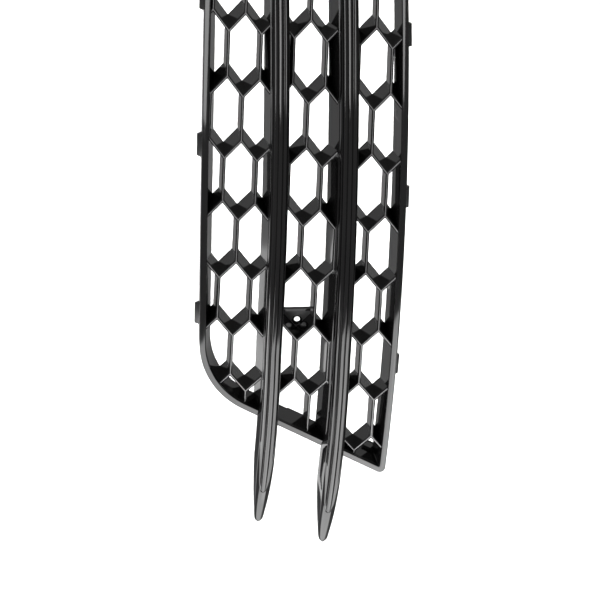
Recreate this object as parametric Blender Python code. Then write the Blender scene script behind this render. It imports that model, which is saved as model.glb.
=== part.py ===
"""Side intake grille of a car bumper, standing on its outboard end.

A deep surround frame carries a honeycomb insert.  Two long blades run over the
insert and past the frame's lower edge, each with a ridged crown strip on top.
Sprung tongues in the frame's flanks snap into the bumper, and one screw goes
through the plate in the middle of the honeycomb.

World axes: +X across the grille, +Z along the blades, -Y out of its front.
The origin is the screw hole's centre on the front face of the screw plate.
Sizes are in millimetres and become metres in place().  "Depth" is measured
along +Y from the honeycomb's swept front surface.
"""

from math import atan2, cos, pi, radians, sin, sqrt, tan

import bmesh
import bpy
from mathutils import Vector

MM = 0.001
GAP = 0.3

# Swept front surface of the honeycomb.
PLATE_SETBACK = 16.0
SLOPE_X = -0.115
SLOPE_Z = 0.053
TWIST = -0.00032
BOW_Z = 0.00081

# Honeycomb lattice: pointed cells, rows turned a little against the frame.
CELL_PITCH = 22.5
ROW_PITCH = 42.3
CELL_RISE = 12.6
LATTICE_TURN = radians(-3.2)
LATTICE_X, LATTICE_Z = -45.3, 206.2
COLUMNS = range(-4, 15)
ROWS = range(-3, 9)
RIB_FRONT, RIB_BACK = 2.0, 4.2
RIB_CREST = 0.5
MESH_DEPTH = 20.0

# Outer outline of the frame, laid out on a straight-sided blank and then bowed.
BLANK_WIDTH = 138.0
TOP_LEFT_Z, TOP_RIGHT_Z = 283.0, 268.0
BOTTOM_LEFT_Z, BOTTOM_RIGHT_Z = -45.7, -114.5
TOP_LEFT_RADIUS, TOP_RIGHT_RADIUS = 26.0, 16.0
BOTTOM_LEFT_RADIUS, BOTTOM_RIGHT_RADIUS = 56.0, 4.0
SHARPEST_CORNER = 0.8
STRAIGHT_STEP = 16.0
ARC_STEP = radians(9.0)

# Frame section.
RIM_PROUD = 3.0
RIM_WIDTH = 4.4
RIM_LIP = 1.8
RIM_ROUND = 0.5
WALL = 2.2
FRAME_DEPTH = 21.0

# Border band of the insert, drafted inwards towards the back.
BAND = 1.8
BAND_OFFSET = WALL + 0.6
BAND_FRONT = -0.9
BAND_DEPTH = 20.3
DRAFT_SIDE, DRAFT_END = 4.0, 1.0
FAR_AWAY = 300.0

# Blades.
BLADE_HALF = 5.9
BLADE_HEIGHT = 6.8
BLADE_WALL = 1.8
TIP_HALF = 2.6
TIP_FULLNESS = 2.2
TIP_HEIGHT = 2.6
TIP_FALL = 1.6
TIP_ROUND = 3.5
TAPER_LENGTH = 60.0
BLADE_BOW, BOW_MIDDLE, BOW_REACH = 1.5, 110.0, 125.0
SHOULDER = 0.72
FLAT_TOP = 0.45
BLADE_STEP = 12.0
STATION_BIAS = 1.35
TOP_OVERRUN = 4.0
TOP_TAPER = 9.0
TOP_NARROWING = 0.7
FOOT_SHARE, FREE_FOOT_SHARE = 0.15, 0.6
FOOT_CHANGE_HIGH, FOOT_CHANGE_LOW = 16.0, 6.0
PILOT_BOSS_RADIUS = 2.8
PILOT_BOSS_TOP, PILOT_BOSS_FOOT = -8.4, -5.2
PILOT_TOP, PILOT_FOOT = -8.1, -4.0

# Crown strips.
CROWN_CUT_LENGTH, CROWN_CUT_POINTS = 70.0, 16
CROWN_NOSE_LENGTH, CROWN_NOSE_FULLNESS = 9.0, 0.45
SIDE_RIDGE, VALLEY, MIDDLE_RIDGE = 1.1, 0.55, 2.1
CROWN_SHORT = 3.0

# Spines under the blades.
FRONT_SHARE = 0.2
SPINE_WALL = 2.2
SPINE_FLOOR = 3.0
SPINE_BACK = MESH_DEPTH - 0.3
SPINE_OVERRUN = 22.0
RIGHT_DRAFT = 0.4
POCKET_START = 18.0
POCKET_SHORT = 16.0

# Screws.
HEAD_RADIUS, HEAD_HEIGHT = 3.4, 2.2
SHANK_RADIUS = 1.6
SMALL_HEAD_RADIUS = 2.4
SMALL_SHANK_RADIUS = 1.1
PAD_RADIUS = 4.4
BLADE_SCREW_END = -7.6
ROUND_SIDES = 12
PLATE_HOLE_SIDES = 24

# Screw plate.
PLATE_THICKNESS = 2.4
PLATE_TOP = 9.2
PLATE_LIP = 1.4
PLATE_LIP_FRONT = -1.6
PLATE_LIP_SHARE = 0.62
PLATE_HOLE_RADIUS = 2.1
PLATE_SINK_RADIUS = 3.5
PLATE_SINK_DEPTH = 0.9
PLATE_CELL = (5, 4)

# Snap tongues.
TONGUE_HALF = 7.3
TONGUE_ROOT, TONGUE_END = 6.0, 17.5
TONGUE_NOSE = 3.0
WINDOW_CLEARANCE = 0.6
LEFT_TONGUES = (222.0, 125.0, 5.0)
RIGHT_TONGUES = (205.0, 95.0, -30.0)

# Insert screws at the frame's ledges, and the stepped rear tab.
LEDGE_HALF = 4.5
LEDGE_NEAR, LEDGE_FAR = 23.0, 25.0
LEDGE_REACH = 7.6
SCREW_OFFSET = 5.0
BOSS_FRONT = 14.0
TAB_FRONT = 14.0
REAR_TAB_X, REAR_TAB_HALF, REAR_TAB_DEPTH = -1.5, 6.2, 30.0
REAR_STEP_X, REAR_STEP_HALF, REAR_STEP_DEPTH = -10.6, 3.2, 25.0


class Blade:
    """Route and local sizes of one blade."""

    def __init__(self, name, x, lean, bend, bend_from, tip, nose, flare, screws):
        self.name = name
        self.x = x
        self.lean = lean
        self.bend = bend
        self.bend_from = bend_from
        self.tip = tip
        self.nose = nose
        self.flare = flare
        self.screws = screws
        self.top = outline_z("top", self.centre(TOP_RIGHT_Z)) + TOP_OVERRUN

    def centre(self, z):
        below = max(0.0, self.bend_from - z)
        bulge = BLADE_BOW * max(0.0, 1.0 - ((z - BOW_MIDDLE) / BOW_REACH) ** 2)
        return self.x + self.lean * z - self.bend * below * below + bulge

    def half(self, z):
        run = z - self.tip
        taper = max(0.0, 1.0 - run / TAPER_LENGTH)
        width = TIP_HALF + (BLADE_HALF - TIP_HALF) * (1.0 - taper ** TIP_FULLNESS)
        if run < TIP_ROUND:
            width *= sqrt(max(0.0, 1.0 - (1.0 - run / TIP_ROUND) ** 2))
        left = self.top - z
        if left < TOP_TAPER:
            width *= sqrt(max(0.0, 1.0 - TOP_NARROWING * (1.0 - left / TOP_TAPER) ** 2))
        return width

    def height(self, z):
        taper = max(0.0, 1.0 - (z - self.tip) / TAPER_LENGTH)
        return BLADE_HEIGHT - (BLADE_HEIGHT - TIP_HEIGHT) * taper ** TIP_FALL

    def foot_flare(self, z):
        """Spread of the outer flank at its foot, wider below the frame's edge."""
        edge = self.pocket_low - POCKET_START
        change = (z - edge - FOOT_CHANGE_LOW) / (FOOT_CHANGE_HIGH - FOOT_CHANGE_LOW)
        share = FREE_FOOT_SHARE + (FOOT_SHARE - FREE_FOOT_SHARE) * min(1.0, max(0.0, change))
        return self.flare * share * min(1.0, max(0.0, (z - self.tip) / TAPER_LENGTH + 0.05))


def sweep(x, z):
    """Y of the honeycomb's front surface."""
    return -PLATE_SETBACK + SLOPE_X * x + SLOPE_Z * z + TWIST * x * z + BOW_Z * z * z


def place(x, z, depth):
    return Vector((x, sweep(x, z) + depth, z)) * MM


def left_edge(z):
    return -68.9 + 0.0193 * z + 0.0000555 * z * z


def right_edge(z):
    drop = 233.0 - z
    return 78.5 - 0.0075 * drop - 0.000125 * drop * drop


def bow(point):
    """Moves a point of the straight blank onto the bowed frame."""
    x, z = point
    share = x / BLANK_WIDTH
    return left_edge(z) * (1.0 - share) + right_edge(z) * share, z


def fillet(before, corner, after, radius):
    """Points of the arc that rounds one corner."""
    to_before = Vector(before) - Vector(corner)
    to_after = Vector(after) - Vector(corner)
    half_angle = to_before.angle(to_after) / 2.0
    to_before.normalize()
    to_after.normalize()
    reach = radius / tan(half_angle)
    bisector = (to_before + to_after).normalized()
    centre = Vector(corner) + bisector * (radius / sin(half_angle))
    start = Vector(corner) + to_before * reach - centre
    end = Vector(corner) + to_after * reach - centre
    turn = start.angle(end)
    first = atan2(start.y, start.x)
    direction = 1.0 if start.x * end.y - start.y * end.x > 0 else -1.0
    steps = max(3, round(turn / ARC_STEP))
    angles = [first + direction * turn * n / steps for n in range(steps + 1)]
    return [(centre.x + radius * cos(a), centre.y + radius * sin(a)) for a in angles]


def inset_polygon(corners, distances):
    """Convex polygon whose edges each move inwards by their own distance."""
    count = len(corners)
    centre = sum((Vector(c) for c in corners), Vector((0.0, 0.0))) / count
    lines = []
    for n in range(count):
        start, end = Vector(corners[n]), Vector(corners[(n + 1) % count])
        along = (end - start).normalized()
        normal = Vector((-along.y, along.x))
        if normal.dot(centre - start) < 0.0:
            normal = -normal
        lines.append((start + normal * distances[n], along))
    moved = []
    for n in range(count):
        (p, a), (q, b) = lines[n - 1], lines[n]
        cross = a.x * b.y - a.y * b.x
        t = ((q.x - p.x) * b.y - (q.y - p.y) * b.x) / cross
        moved.append(p + a * t)
    return moved


def outline_at(side, end):
    """Outline moved inwards by one distance at the sides and one at the ends.

    It runs anticlockwise as seen from the front, always with the same number
    of points, so that two such outlines can be bridged.
    """
    blank = [(0.0, TOP_LEFT_Z), (0.0, BOTTOM_LEFT_Z),
             (BLANK_WIDTH, BOTTOM_RIGHT_Z), (BLANK_WIDTH, TOP_RIGHT_Z)]
    radii = [TOP_LEFT_RADIUS, BOTTOM_LEFT_RADIUS, BOTTOM_RIGHT_RADIUS, TOP_RIGHT_RADIUS]
    corners = inset_polygon(blank, [side, end, side, end])
    shrink = (side + end) / 2.0
    arcs = []
    for n, corner in enumerate(corners):
        radius = max(radii[n] - shrink, SHARPEST_CORNER)
        arcs.append(fillet(corners[n - 1], corner, corners[(n + 1) % 4], radius))
    points = []
    for n, arc in enumerate(arcs):
        points += arc
        start, finish = Vector(arc[-1]), Vector(arcs[(n + 1) % 4][0])
        full = (Vector(blank[(n + 1) % 4]) - Vector(blank[n])).length
        pieces = round(full / STRAIGHT_STEP)
        points += [tuple(start.lerp(finish, m / pieces)) for m in range(1, pieces)]
    return [bow(point) for point in points]


OUTLINE = outline_at(0.0, 0.0)


def outline_segments():
    return zip(OUTLINE, OUTLINE[1:] + OUTLINE[:1])


def outline_z(side, x):
    """Height of the outline's top or bottom edge at x."""
    heights = []
    for (x0, z0), (x1, z1) in outline_segments():
        if min(x0, x1) <= x < max(x0, x1):
            heights.append(z0 + (z1 - z0) * (x - x0) / (x1 - x0))
    return max(heights) if side == "top" else min(heights)


class Seat:
    """Local frame on the outline: along it, inwards from it, and depth."""

    def __init__(self, side, value):
        if side in ("left", "right"):
            edge = left_edge if side == "left" else right_edge
            start = Vector((edge(value + 1.0), value + 1.0))
            end = Vector((edge(value - 1.0), value - 1.0))
        else:
            start = Vector((value - 1.0, outline_z(side, value - 1.0)))
            end = Vector((value + 1.0, outline_z(side, value + 1.0)))
        self.tangent = (end - start).normalized()
        self.origin = (start + end) / 2.0
        inwards = Vector((-self.tangent.y, self.tangent.x))
        self.normal = inwards if side in ("left", "bottom") else -inwards

    def flat(self, along, offset, depth):
        """Point whose depth is counted from the seat's own place."""
        spot = self.origin + self.tangent * along + self.normal * offset
        return Vector((spot.x, sweep(*self.origin) + depth, spot.y)) * MM

    def swept(self, along, offset, depth):
        """Point whose depth is counted from the swept surface below it."""
        spot = self.origin + self.tangent * along + self.normal * offset
        return place(spot.x, spot.y, depth)


def material(name, colour, roughness, metallic=0.0):
    made = bpy.data.materials.new(name)
    made.use_nodes = True
    shader = made.node_tree.nodes["Principled BSDF"]
    shader.inputs["Base Color"].default_value = (*colour, 1.0)
    shader.inputs["Roughness"].default_value = roughness
    shader.inputs["Metallic"].default_value = metallic
    return made


def add_object(name, mesh_data, finish=None, helper=False):
    made = bpy.data.objects.new(name, mesh_data)
    bpy.context.scene.collection.objects.link(made)
    if finish:
        mesh_data.materials.append(finish)
    if helper:
        made.hide_render = True
        made.display_type = "WIRE"
    return made


def mesh_object(name, verts, faces, finish=None, helper=False):
    """Object from vertices and faces, with its faces turned outwards."""
    data = bpy.data.meshes.new(name)
    data.from_pydata(verts, [], faces)
    body = bmesh.new()
    body.from_mesh(data)
    bmesh.ops.recalc_face_normals(body, faces=body.faces)
    bmesh.ops.triangulate(body, faces=[f for f in body.faces if len(f.verts) > 4])
    body.to_mesh(data)
    body.free()
    return add_object(name, data, finish, helper)


def bridge(loops, closed_ring):
    """Faces between successive loops, capped unless they close on themselves."""
    size = len(loops[0])
    verts = [point for loop in loops for point in loop]
    faces = []
    spans = len(loops) if closed_ring else len(loops) - 1
    for n in range(spans):
        low, high = n * size, ((n + 1) % len(loops)) * size
        for m in range(size):
            k = (m + 1) % size
            faces.append((low + m, low + k, high + k, high + m))
    if not closed_ring:
        faces.append(tuple(range(size)))
        faces.append(tuple(range((len(loops) - 1) * size, len(loops) * size)))
    return verts, faces


def join_bodies(bodies):
    """One vertex and face list for several separate bodies."""
    verts, faces = [], []
    for body_verts, body_faces in bodies:
        base = len(verts)
        verts += body_verts
        faces += [tuple(base + n for n in face) for face in body_faces]
    return verts, faces


def boolean(target, helper, operation):
    change = target.modifiers.new(helper.name, "BOOLEAN")
    change.operation = operation
    change.object = helper
    change.solver = "EXACT"


def swept_outline(side, end, depth):
    return [place(x, z, depth) for x, z in outline_at(side, end)]


def ring(section):
    """Body swept round the outline through (side offset, end offset, depth) points."""
    return bridge([swept_outline(*point) for point in section], True)


def prism(seat, profile, half, kind="flat"):
    """Profile of (offset, depth) points, extruded both ways along the outline."""
    point = seat.flat if kind == "flat" else seat.swept
    loops = [[point(along, offset, depth) for offset, depth in profile]
             for along in (-half, half)]
    return bridge(loops, False)


def cylinder(x, z, base, radius, near, far, sides=ROUND_SIDES):
    """Round body along Y; near and far are depths counted from base."""
    loops = []
    for depth in (near, far):
        loops.append([Vector((x + radius * cos(2 * pi * n / sides), base + depth,
                              z + radius * sin(2 * pi * n / sides))) * MM
                      for n in range(sides)])
    return bridge(loops, False)


def screw(name, x, z, base, head, shank, seat_depth, end_depth, finish):
    """Pan-head screw along Y, head towards the back of the grille."""
    profile = [(0.0, seat_depth + HEAD_HEIGHT), (0.75 * head, seat_depth + HEAD_HEIGHT - 0.1),
               (head, seat_depth + 0.5 * HEAD_HEIGHT), (head, seat_depth), (shank, seat_depth),
               (shank, end_depth + shank), (0.0, end_depth)]
    verts = [Vector((x, base + profile[0][1], z)) * MM]
    for radius, depth in profile[1:-1]:
        for n in range(ROUND_SIDES):
            angle = 2 * pi * n / ROUND_SIDES
            verts.append(Vector((x + radius * cos(angle), base + depth,
                                 z + radius * sin(angle))) * MM)
    verts.append(Vector((x, base + profile[-1][1], z)) * MM)
    faces = []
    rings = len(profile) - 2
    last = len(verts) - 1
    for n in range(ROUND_SIDES):
        k = (n + 1) % ROUND_SIDES
        faces.append((0, 1 + n, 1 + k))
        for r in range(rings - 1):
            low, high = 1 + r * ROUND_SIDES, 1 + (r + 1) * ROUND_SIDES
            faces.append((low + n, high + n, high + k, low + k))
        tail = 1 + (rings - 1) * ROUND_SIDES
        faces.append((tail + n, last, tail + k))
    made = mesh_object(name, verts, faces, finish)
    made.data.shade_smooth()
    made.data.set_sharp_from_angle(angle=radians(35.0))
    return made


# --- honeycomb -------------------------------------------------------------

def lattice_node(column, row):
    """Meeting point of three ribs, in X and Z."""
    u = column * CELL_PITCH / 2.0
    v = -ROW_PITCH * row + (CELL_RISE if (column + row) % 2 else 0.0)
    c, s = cos(LATTICE_TURN), sin(LATTICE_TURN)
    return LATTICE_X + c * u - s * v, LATTICE_Z + s * u + c * v


def cell_keys(column, row):
    """Six lattice nodes round the cell that hangs below a raised node."""
    return [(column, row), (column - 1, row), (column - 1, row + 1),
            (column, row + 1), (column + 1, row + 1), (column + 1, row)]


def inside_outline(x, z):
    crossings = 0
    for (x0, z0), (x1, z1) in outline_segments():
        if (z0 > z) != (z1 > z) and x < x0 + (x1 - x0) * (z - z0) / (z1 - z0):
            crossings += 1
    return crossings % 2 == 1


def honeycomb_mesh():
    """Every cell that reaches into the frame, walls drafted towards the back."""
    cells = []
    for row in ROWS:
        for column in COLUMNS:
            if (column + row) % 2 == 0:
                continue
            keys = cell_keys(column, row)
            if any(inside_outline(*lattice_node(*key)) for key in keys):
                cells.append(keys)
    verts, faces, shared = [], [], {}
    uses = {}
    for keys in cells:
        for n, key in enumerate(keys):
            side = frozenset((key, keys[(n + 1) % 6]))
            uses[side] = uses.get(side, 0) + 1

    def node(key, depth):
        if (key, depth) not in shared:
            shared[(key, depth)] = len(verts)
            verts.append(place(*lattice_node(*key), depth))
        return shared[(key, depth)]

    levels = [(RIB_FRONT / 2.0, RIB_CREST), (RIB_BACK / 2.0, MESH_DEPTH)]
    for keys in cells:
        corners = [lattice_node(*key) for key in keys]
        rings = []
        for thickness, depth in levels:
            first = len(verts)
            verts += [place(p.x, p.y, depth) for p in inset_polygon(corners, [thickness] * 6)]
            rings.append([first + n for n in range(6)])
        for n, key in enumerate(keys):
            k = (n + 1) % 6
            following = keys[k]
            front, back = rings
            faces.append((node(key, 0.0), node(following, 0.0), front[k], front[n]))
            faces.append((front[n], front[k], back[k], back[n]))
            faces.append((back[n], back[k], node(following, MESH_DEPTH), node(key, MESH_DEPTH)))
            if uses[frozenset((key, following))] == 1:
                faces.append((node(key, MESH_DEPTH), node(following, MESH_DEPTH),
                              node(following, 0.0), node(key, 0.0)))
    return verts, faces


def insert_limit():
    """Solid that trims ribs and spines to the middle of the border band."""
    inner = RIM_WIDTH + 0.4
    middle = BAND_OFFSET + BAND / 2.0
    side, end = middle + DRAFT_SIDE, middle + DRAFT_END

    def far_outline(side, end, y):
        return [Vector((x, y, z)) * MM for x, z in outline_at(side, end)]

    return bridge([far_outline(inner, inner, -FAR_AWAY),
                   swept_outline(inner, inner, BAND_FRONT - 0.3),
                   swept_outline(middle, middle, BAND_FRONT + 0.5),
                   swept_outline(side, end, MESH_DEPTH + 0.5),
                   far_outline(side, end, FAR_AWAY)], False)


def along_blade(blade, low, high, section, bias=1.0):
    """Body swept along a blade; section gives (sideways, depth) points at z."""
    count = max(2, round((high - low) / BLADE_STEP))
    heights = [low + (high - low) * (n / count) ** bias for n in range(count + 1)]
    loops = []
    for z in heights:
        loops.append([place(blade.centre(z) + side, z, depth) for side, depth in section(z)])
    return bridge(loops, False)


def spine_body(blade):
    """Rail under one blade, from the frame's lower edge to its upper edge."""
    def section(z):
        left, right = BLADE_HALF + FRONT_SHARE * blade.flare, BLADE_HALF + RIGHT_DRAFT
        return [(-left, -RIM_PROUD), (-BLADE_HALF - blade.flare, SPINE_BACK),
                (BLADE_HALF + 2 * RIGHT_DRAFT, SPINE_BACK), (right, -RIM_PROUD)]
    return along_blade(blade, blade.pocket_low - SPINE_OVERRUN, blade.top + TOP_OVERRUN, section)


def spine_pocket(blade):
    """Hollow of the rail, open at the back."""
    def section(z):
        left = BLADE_HALF + (FRONT_SHARE + 0.05) * blade.flare - SPINE_WALL
        right = BLADE_HALF - SPINE_WALL
        floor = SPINE_FLOOR - RIM_PROUD
        return [(-left, floor), (-BLADE_HALF - blade.flare + SPINE_WALL, MESH_DEPTH + 6.0),
                (right + RIGHT_DRAFT, MESH_DEPTH + 6.0), (right, floor)]
    return along_blade(blade, blade.pocket_low, blade.top - POCKET_SHORT, section)


def blade_seats(blade):
    """Centre and flat base of each of the blade's screws."""
    return [(blade.centre(z), z, sweep(blade.centre(z), z)) for z in blade.screws]


def plate_body():
    """Screw plate that fills the foot of one cell, with its front face at Y = 0."""
    keys = cell_keys(*PLATE_CELL)
    corners = [Vector(lattice_node(*key)) for key in keys]
    top, left_up, left_down, bottom, right_down, right_up = corners

    def cut(upper, lower):
        return upper.lerp(lower, (upper.y - PLATE_TOP) / (upper.y - lower.y))

    outline = [cut(left_up, left_down), left_down, bottom, right_down, cut(right_up, right_down)]
    loops = [[Vector((p.x, depth, p.y)) * MM for p in outline] for depth in (0.0, PLATE_THICKNESS)]
    return bridge(loops, False)


def plate_lip():
    """Stiffening lip along the upper edge of the screw plate."""
    keys = cell_keys(*PLATE_CELL)
    corners = [Vector(lattice_node(*key)) for key in keys]
    left = corners[1].lerp(corners[2], PLATE_LIP_SHARE)
    right = corners[5].lerp(corners[4], PLATE_LIP_SHARE)
    low, high = PLATE_TOP - PLATE_LIP, PLATE_TOP + 0.2
    near, far = PLATE_LIP_FRONT, PLATE_THICKNESS - 0.4
    loops = [[Vector((x, y, z)) * MM for y, z in ((near, low), (near, high), (far, high), (far, low))]
             for x in (left.x, right.x)]
    return bridge(loops, False)


def countersink():
    """Through hole with a shallow wider mouth on the front face."""
    hole = cylinder(0.0, 0.0, 0.0, PLATE_HOLE_RADIUS, -1.0, PLATE_THICKNESS + 1.0,
                    PLATE_HOLE_SIDES)
    mouth = cylinder(0.0, 0.0, 0.0, PLATE_SINK_RADIUS, -1.0, PLATE_SINK_DEPTH,
                     PLATE_HOLE_SIDES)
    return hole, mouth


def build_insert(blades, seats, finish):
    """Honeycomb, border band, spines and screw plate as one moulding."""
    insert = mesh_object("honeycomb_insert", *honeycomb_mesh(), finish)
    limit = mesh_object("insert_limit", *insert_limit(), helper=True)
    boolean(insert, limit, "INTERSECT")
    for blade in blades:
        spine = mesh_object("spine_" + blade.name, *spine_body(blade), helper=True)
        boolean(spine, limit, "INTERSECT")
        boolean(insert, spine, "UNION")
    boolean(insert, mesh_object("screw_plate", *plate_body(), helper=True), "UNION")
    boolean(insert, mesh_object("plate_lip", *plate_lip(), helper=True), "UNION")
    outer, inner = BAND_OFFSET, BAND_OFFSET + BAND
    band = [(outer, outer, BAND_FRONT), (inner, inner, BAND_FRONT),
            (inner + DRAFT_SIDE, inner + DRAFT_END, BAND_DEPTH),
            (outer + DRAFT_SIDE, outer + DRAFT_END, BAND_DEPTH)]
    boolean(insert, mesh_object("border_band", *ring(band), helper=True), "UNION")
    boss = [(BAND_OFFSET + 0.2, BOSS_FRONT), (BAND_OFFSET + 0.2, LEDGE_NEAR - GAP),
            (LEDGE_REACH - 0.2, LEDGE_NEAR - GAP), (LEDGE_REACH - 0.2, BOSS_FRONT)]
    for n, seat in enumerate(seats):
        body = prism(seat, boss, LEDGE_HALF - 0.6)
        boolean(insert, mesh_object(f"insert_boss_{n + 1}", *body, helper=True), "UNION")
    for blade in blades:
        pocket = mesh_object("pocket_" + blade.name, *spine_pocket(blade), helper=True)
        pads = join_bodies([cylinder(x, z, base, PAD_RADIUS, -6.0, SPINE_FLOOR)
                            for x, z, base in blade_seats(blade)])
        boolean(pocket, mesh_object("pads_" + blade.name, *pads, helper=True), "DIFFERENCE")
        boolean(insert, pocket, "DIFFERENCE")
    holes = [cylinder(x, z, base, SHANK_RADIUS + GAP, -6.0, 6.0)
             for blade in blades for x, z, base in blade_seats(blade)]
    for seat in seats:
        spot = seat.origin + seat.normal * SCREW_OFFSET
        holes.append(cylinder(spot.x, spot.y, sweep(*seat.origin), SMALL_SHANK_RADIUS + GAP,
                              BOSS_FRONT + 2.0, LEDGE_NEAR + 1.0))
    for n, hole in enumerate(holes):
        boolean(insert, mesh_object(f"insert_hole_{n + 1}", *hole, helper=True), "DIFFERENCE")
    hole, mouth = countersink()
    boolean(insert, mesh_object("plate_hole", *hole, helper=True), "DIFFERENCE")
    boolean(insert, mesh_object("plate_mouth", *mouth, helper=True), "DIFFERENCE")
    return insert


# --- frame -----------------------------------------------------------------

def frame_ring():
    profile = [(0.0, FRAME_DEPTH), (0.0, RIM_ROUND - RIM_PROUD), (RIM_ROUND, -RIM_PROUD),
               (RIM_WIDTH - RIM_ROUND, -RIM_PROUD), (RIM_WIDTH, RIM_ROUND - RIM_PROUD),
               (RIM_WIDTH, RIM_LIP - RIM_PROUD), (WALL, RIM_LIP - RIM_PROUD), (WALL, FRAME_DEPTH)]
    return ring([(offset, offset, depth) for offset, depth in profile])


def rear_tab():
    """Stepped locating tab that carries the lower wall further back."""
    profile = [(0.3, TAB_FRONT), (0.3, REAR_TAB_DEPTH),
               (WALL - 0.1, REAR_TAB_DEPTH), (WALL - 0.1, TAB_FRONT)]
    step = [(offset, min(depth, REAR_STEP_DEPTH)) for offset, depth in profile]
    return [prism(Seat("bottom", REAR_TAB_X), profile, REAR_TAB_HALF),
            prism(Seat("bottom", REAR_STEP_X), step, REAR_STEP_HALF)]


def build_frame(seats, tongues, finish):
    """Rim and deep wall, with ledges for the insert and windows for the tongues."""
    frame = mesh_object("surround_frame", *frame_ring(), finish)
    ledge = [(0.3, BOSS_FRONT), (0.3, LEDGE_FAR), (LEDGE_REACH, LEDGE_FAR),
             (LEDGE_REACH, LEDGE_NEAR), (WALL - 0.2, LEDGE_NEAR), (WALL - 0.2, BOSS_FRONT)]
    for n, seat in enumerate(seats):
        body = prism(seat, ledge, LEDGE_HALF)
        boolean(frame, mesh_object(f"ledge_{n + 1}", *body, helper=True), "UNION")
    for n, body in enumerate(rear_tab()):
        boolean(frame, mesh_object(f"rear_tab_{n + 1}", *body, helper=True), "UNION")
    near, far = TONGUE_ROOT - WINDOW_CLEARANCE, TONGUE_END + 2 * WINDOW_CLEARANCE
    window = [(-2.0, near), (-2.0, far), (WALL + 1.0, far), (WALL + 1.0, near)]
    cuts = [prism(seat, window, TONGUE_HALF + WINDOW_CLEARANCE, "swept")
            for seat in tongues.values()]
    for seat in seats:
        spot = seat.origin + seat.normal * SCREW_OFFSET
        cuts.append(cylinder(spot.x, spot.y, sweep(*seat.origin), SMALL_SHANK_RADIUS + GAP,
                             LEDGE_NEAR - 1.0, LEDGE_FAR + 1.0))
    boolean(frame, mesh_object("frame_cuts", *join_bodies(cuts), helper=True), "DIFFERENCE")
    return frame


def build_tongue(name, seat, finish):
    """Snap tongue: a thin leaf with a ramped nose that stands out of the flank."""
    profile = [(0.3, TONGUE_ROOT), (0.3, 9.6), (-TONGUE_NOSE + 0.5, 11.4), (-TONGUE_NOSE, 12.2),
               (-TONGUE_NOSE, 13.8), (-TONGUE_NOSE + 0.8, 14.9), (0.3, TONGUE_END),
               (WALL - 0.3, TONGUE_END), (WALL - 0.3, TONGUE_ROOT)]
    return mesh_object(name, *prism(seat, profile, TONGUE_HALF, "swept"), finish)


# --- blades ----------------------------------------------------------------

FOOT = -RIM_PROUD - GAP


def blade_section(blade):
    """Hollow blade: broad chamfers, flat top, and an open channel underneath."""
    def section(z):
        half, height, flare = blade.half(z), blade.height(z), blade.foot_flare(z)
        inner = max(half - BLADE_WALL, 0.15 * half)
        roof = FOOT - height + min(BLADE_WALL, 0.5 * height)
        share = inner / half if half > 0.0 else 1.0
        return [(-half - flare, FOOT), (-half, FOOT - SHOULDER * height),
                (-FLAT_TOP * half, FOOT - height), (FLAT_TOP * half, FOOT - height),
                (half, FOOT - SHOULDER * height), (half + 0.3 * share, FOOT),
                (inner, FOOT), (inner, roof + 0.2 * height * share), (FLAT_TOP * inner, roof),
                (-FLAT_TOP * inner, roof), (-inner, roof + 0.2 * height * share),
                (-inner - 0.5 * flare * share, FOOT)]
    return section


def build_blade(blade, finish):
    low = blade.tip + 0.15
    body = along_blade(blade, low, blade.top - 0.1, blade_section(blade), STATION_BIAS)
    made = mesh_object("blade_" + blade.name, *body, finish)
    bosses = join_bodies([cylinder(x, z, base, PILOT_BOSS_RADIUS, PILOT_BOSS_TOP, PILOT_BOSS_FOOT)
                          for x, z, base in blade_seats(blade)])
    boolean(made, mesh_object("bosses_" + blade.name, *bosses, helper=True), "UNION")
    holes = join_bodies([cylinder(x, z, base, SHANK_RADIUS + GAP, PILOT_TOP, PILOT_FOOT)
                         for x, z, base in blade_seats(blade)])
    boolean(made, mesh_object("pilot_holes_" + blade.name, *holes, helper=True), "DIFFERENCE")
    return made


def crown_section(blade):
    """Strip that rides on the blade: two side ridges and a taller middle ridge."""
    def section(z):
        half = blade.half(z)
        top = FOOT - blade.height(z) - GAP
        drop = (1.0 - SHOULDER) * blade.height(z)
        return [(-0.86 * half, top + 0.74 * drop), (-FLAT_TOP * half, top),
                (FLAT_TOP * half, top), (0.86 * half, top + 0.74 * drop),
                (0.92 * half, top + 0.35 * drop), (0.68 * half, top - SIDE_RIDGE),
                (0.55 * half, top - SIDE_RIDGE), (0.34 * half, top - VALLEY),
                (0.20 * half, top - MIDDLE_RIDGE), (-0.20 * half, top - MIDDLE_RIDGE),
                (-0.34 * half, top - VALLEY), (-0.55 * half, top - SIDE_RIDGE),
                (-0.68 * half, top - SIDE_RIDGE), (-0.92 * half, top + 0.35 * drop)]
    return section


def crown_limit(blade):
    """Long pointed-U outline that trims the crown's lower end."""
    length, tip = CROWN_CUT_LENGTH, CROWN_NOSE_LENGTH
    right, left = [], []
    for n in range(1, CROWN_CUT_POINTS + 1):
        run = length * (n / CROWN_CUT_POINTS) ** 2
        z = blade.nose + run
        if run < tip:
            spread = 0.5 * BLADE_HALF * (run / tip) ** CROWN_NOSE_FULLNESS
        else:
            spread = BLADE_HALF * (0.5 + 0.75 * (run - tip) / (length - tip))
        right.append((blade.centre(z) + spread, z))
        left.append((blade.centre(z) - spread, z))
    high = blade.top - CROWN_SHORT
    wide = 2.0 * BLADE_HALF
    right += [(blade.centre(blade.nose + length) + wide, blade.nose + length + 2.0),
              (blade.centre(high) + wide, high)]
    left += [(blade.centre(blade.nose + length) - wide, blade.nose + length + 2.0),
             (blade.centre(high) - wide, high)]
    outline = [(blade.centre(blade.nose), blade.nose)] + right + left[::-1]
    loops = [[Vector((x, y, z)) * MM for x, z in outline] for y in (-FAR_AWAY, FAR_AWAY)]
    return bridge(loops, False)


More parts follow.
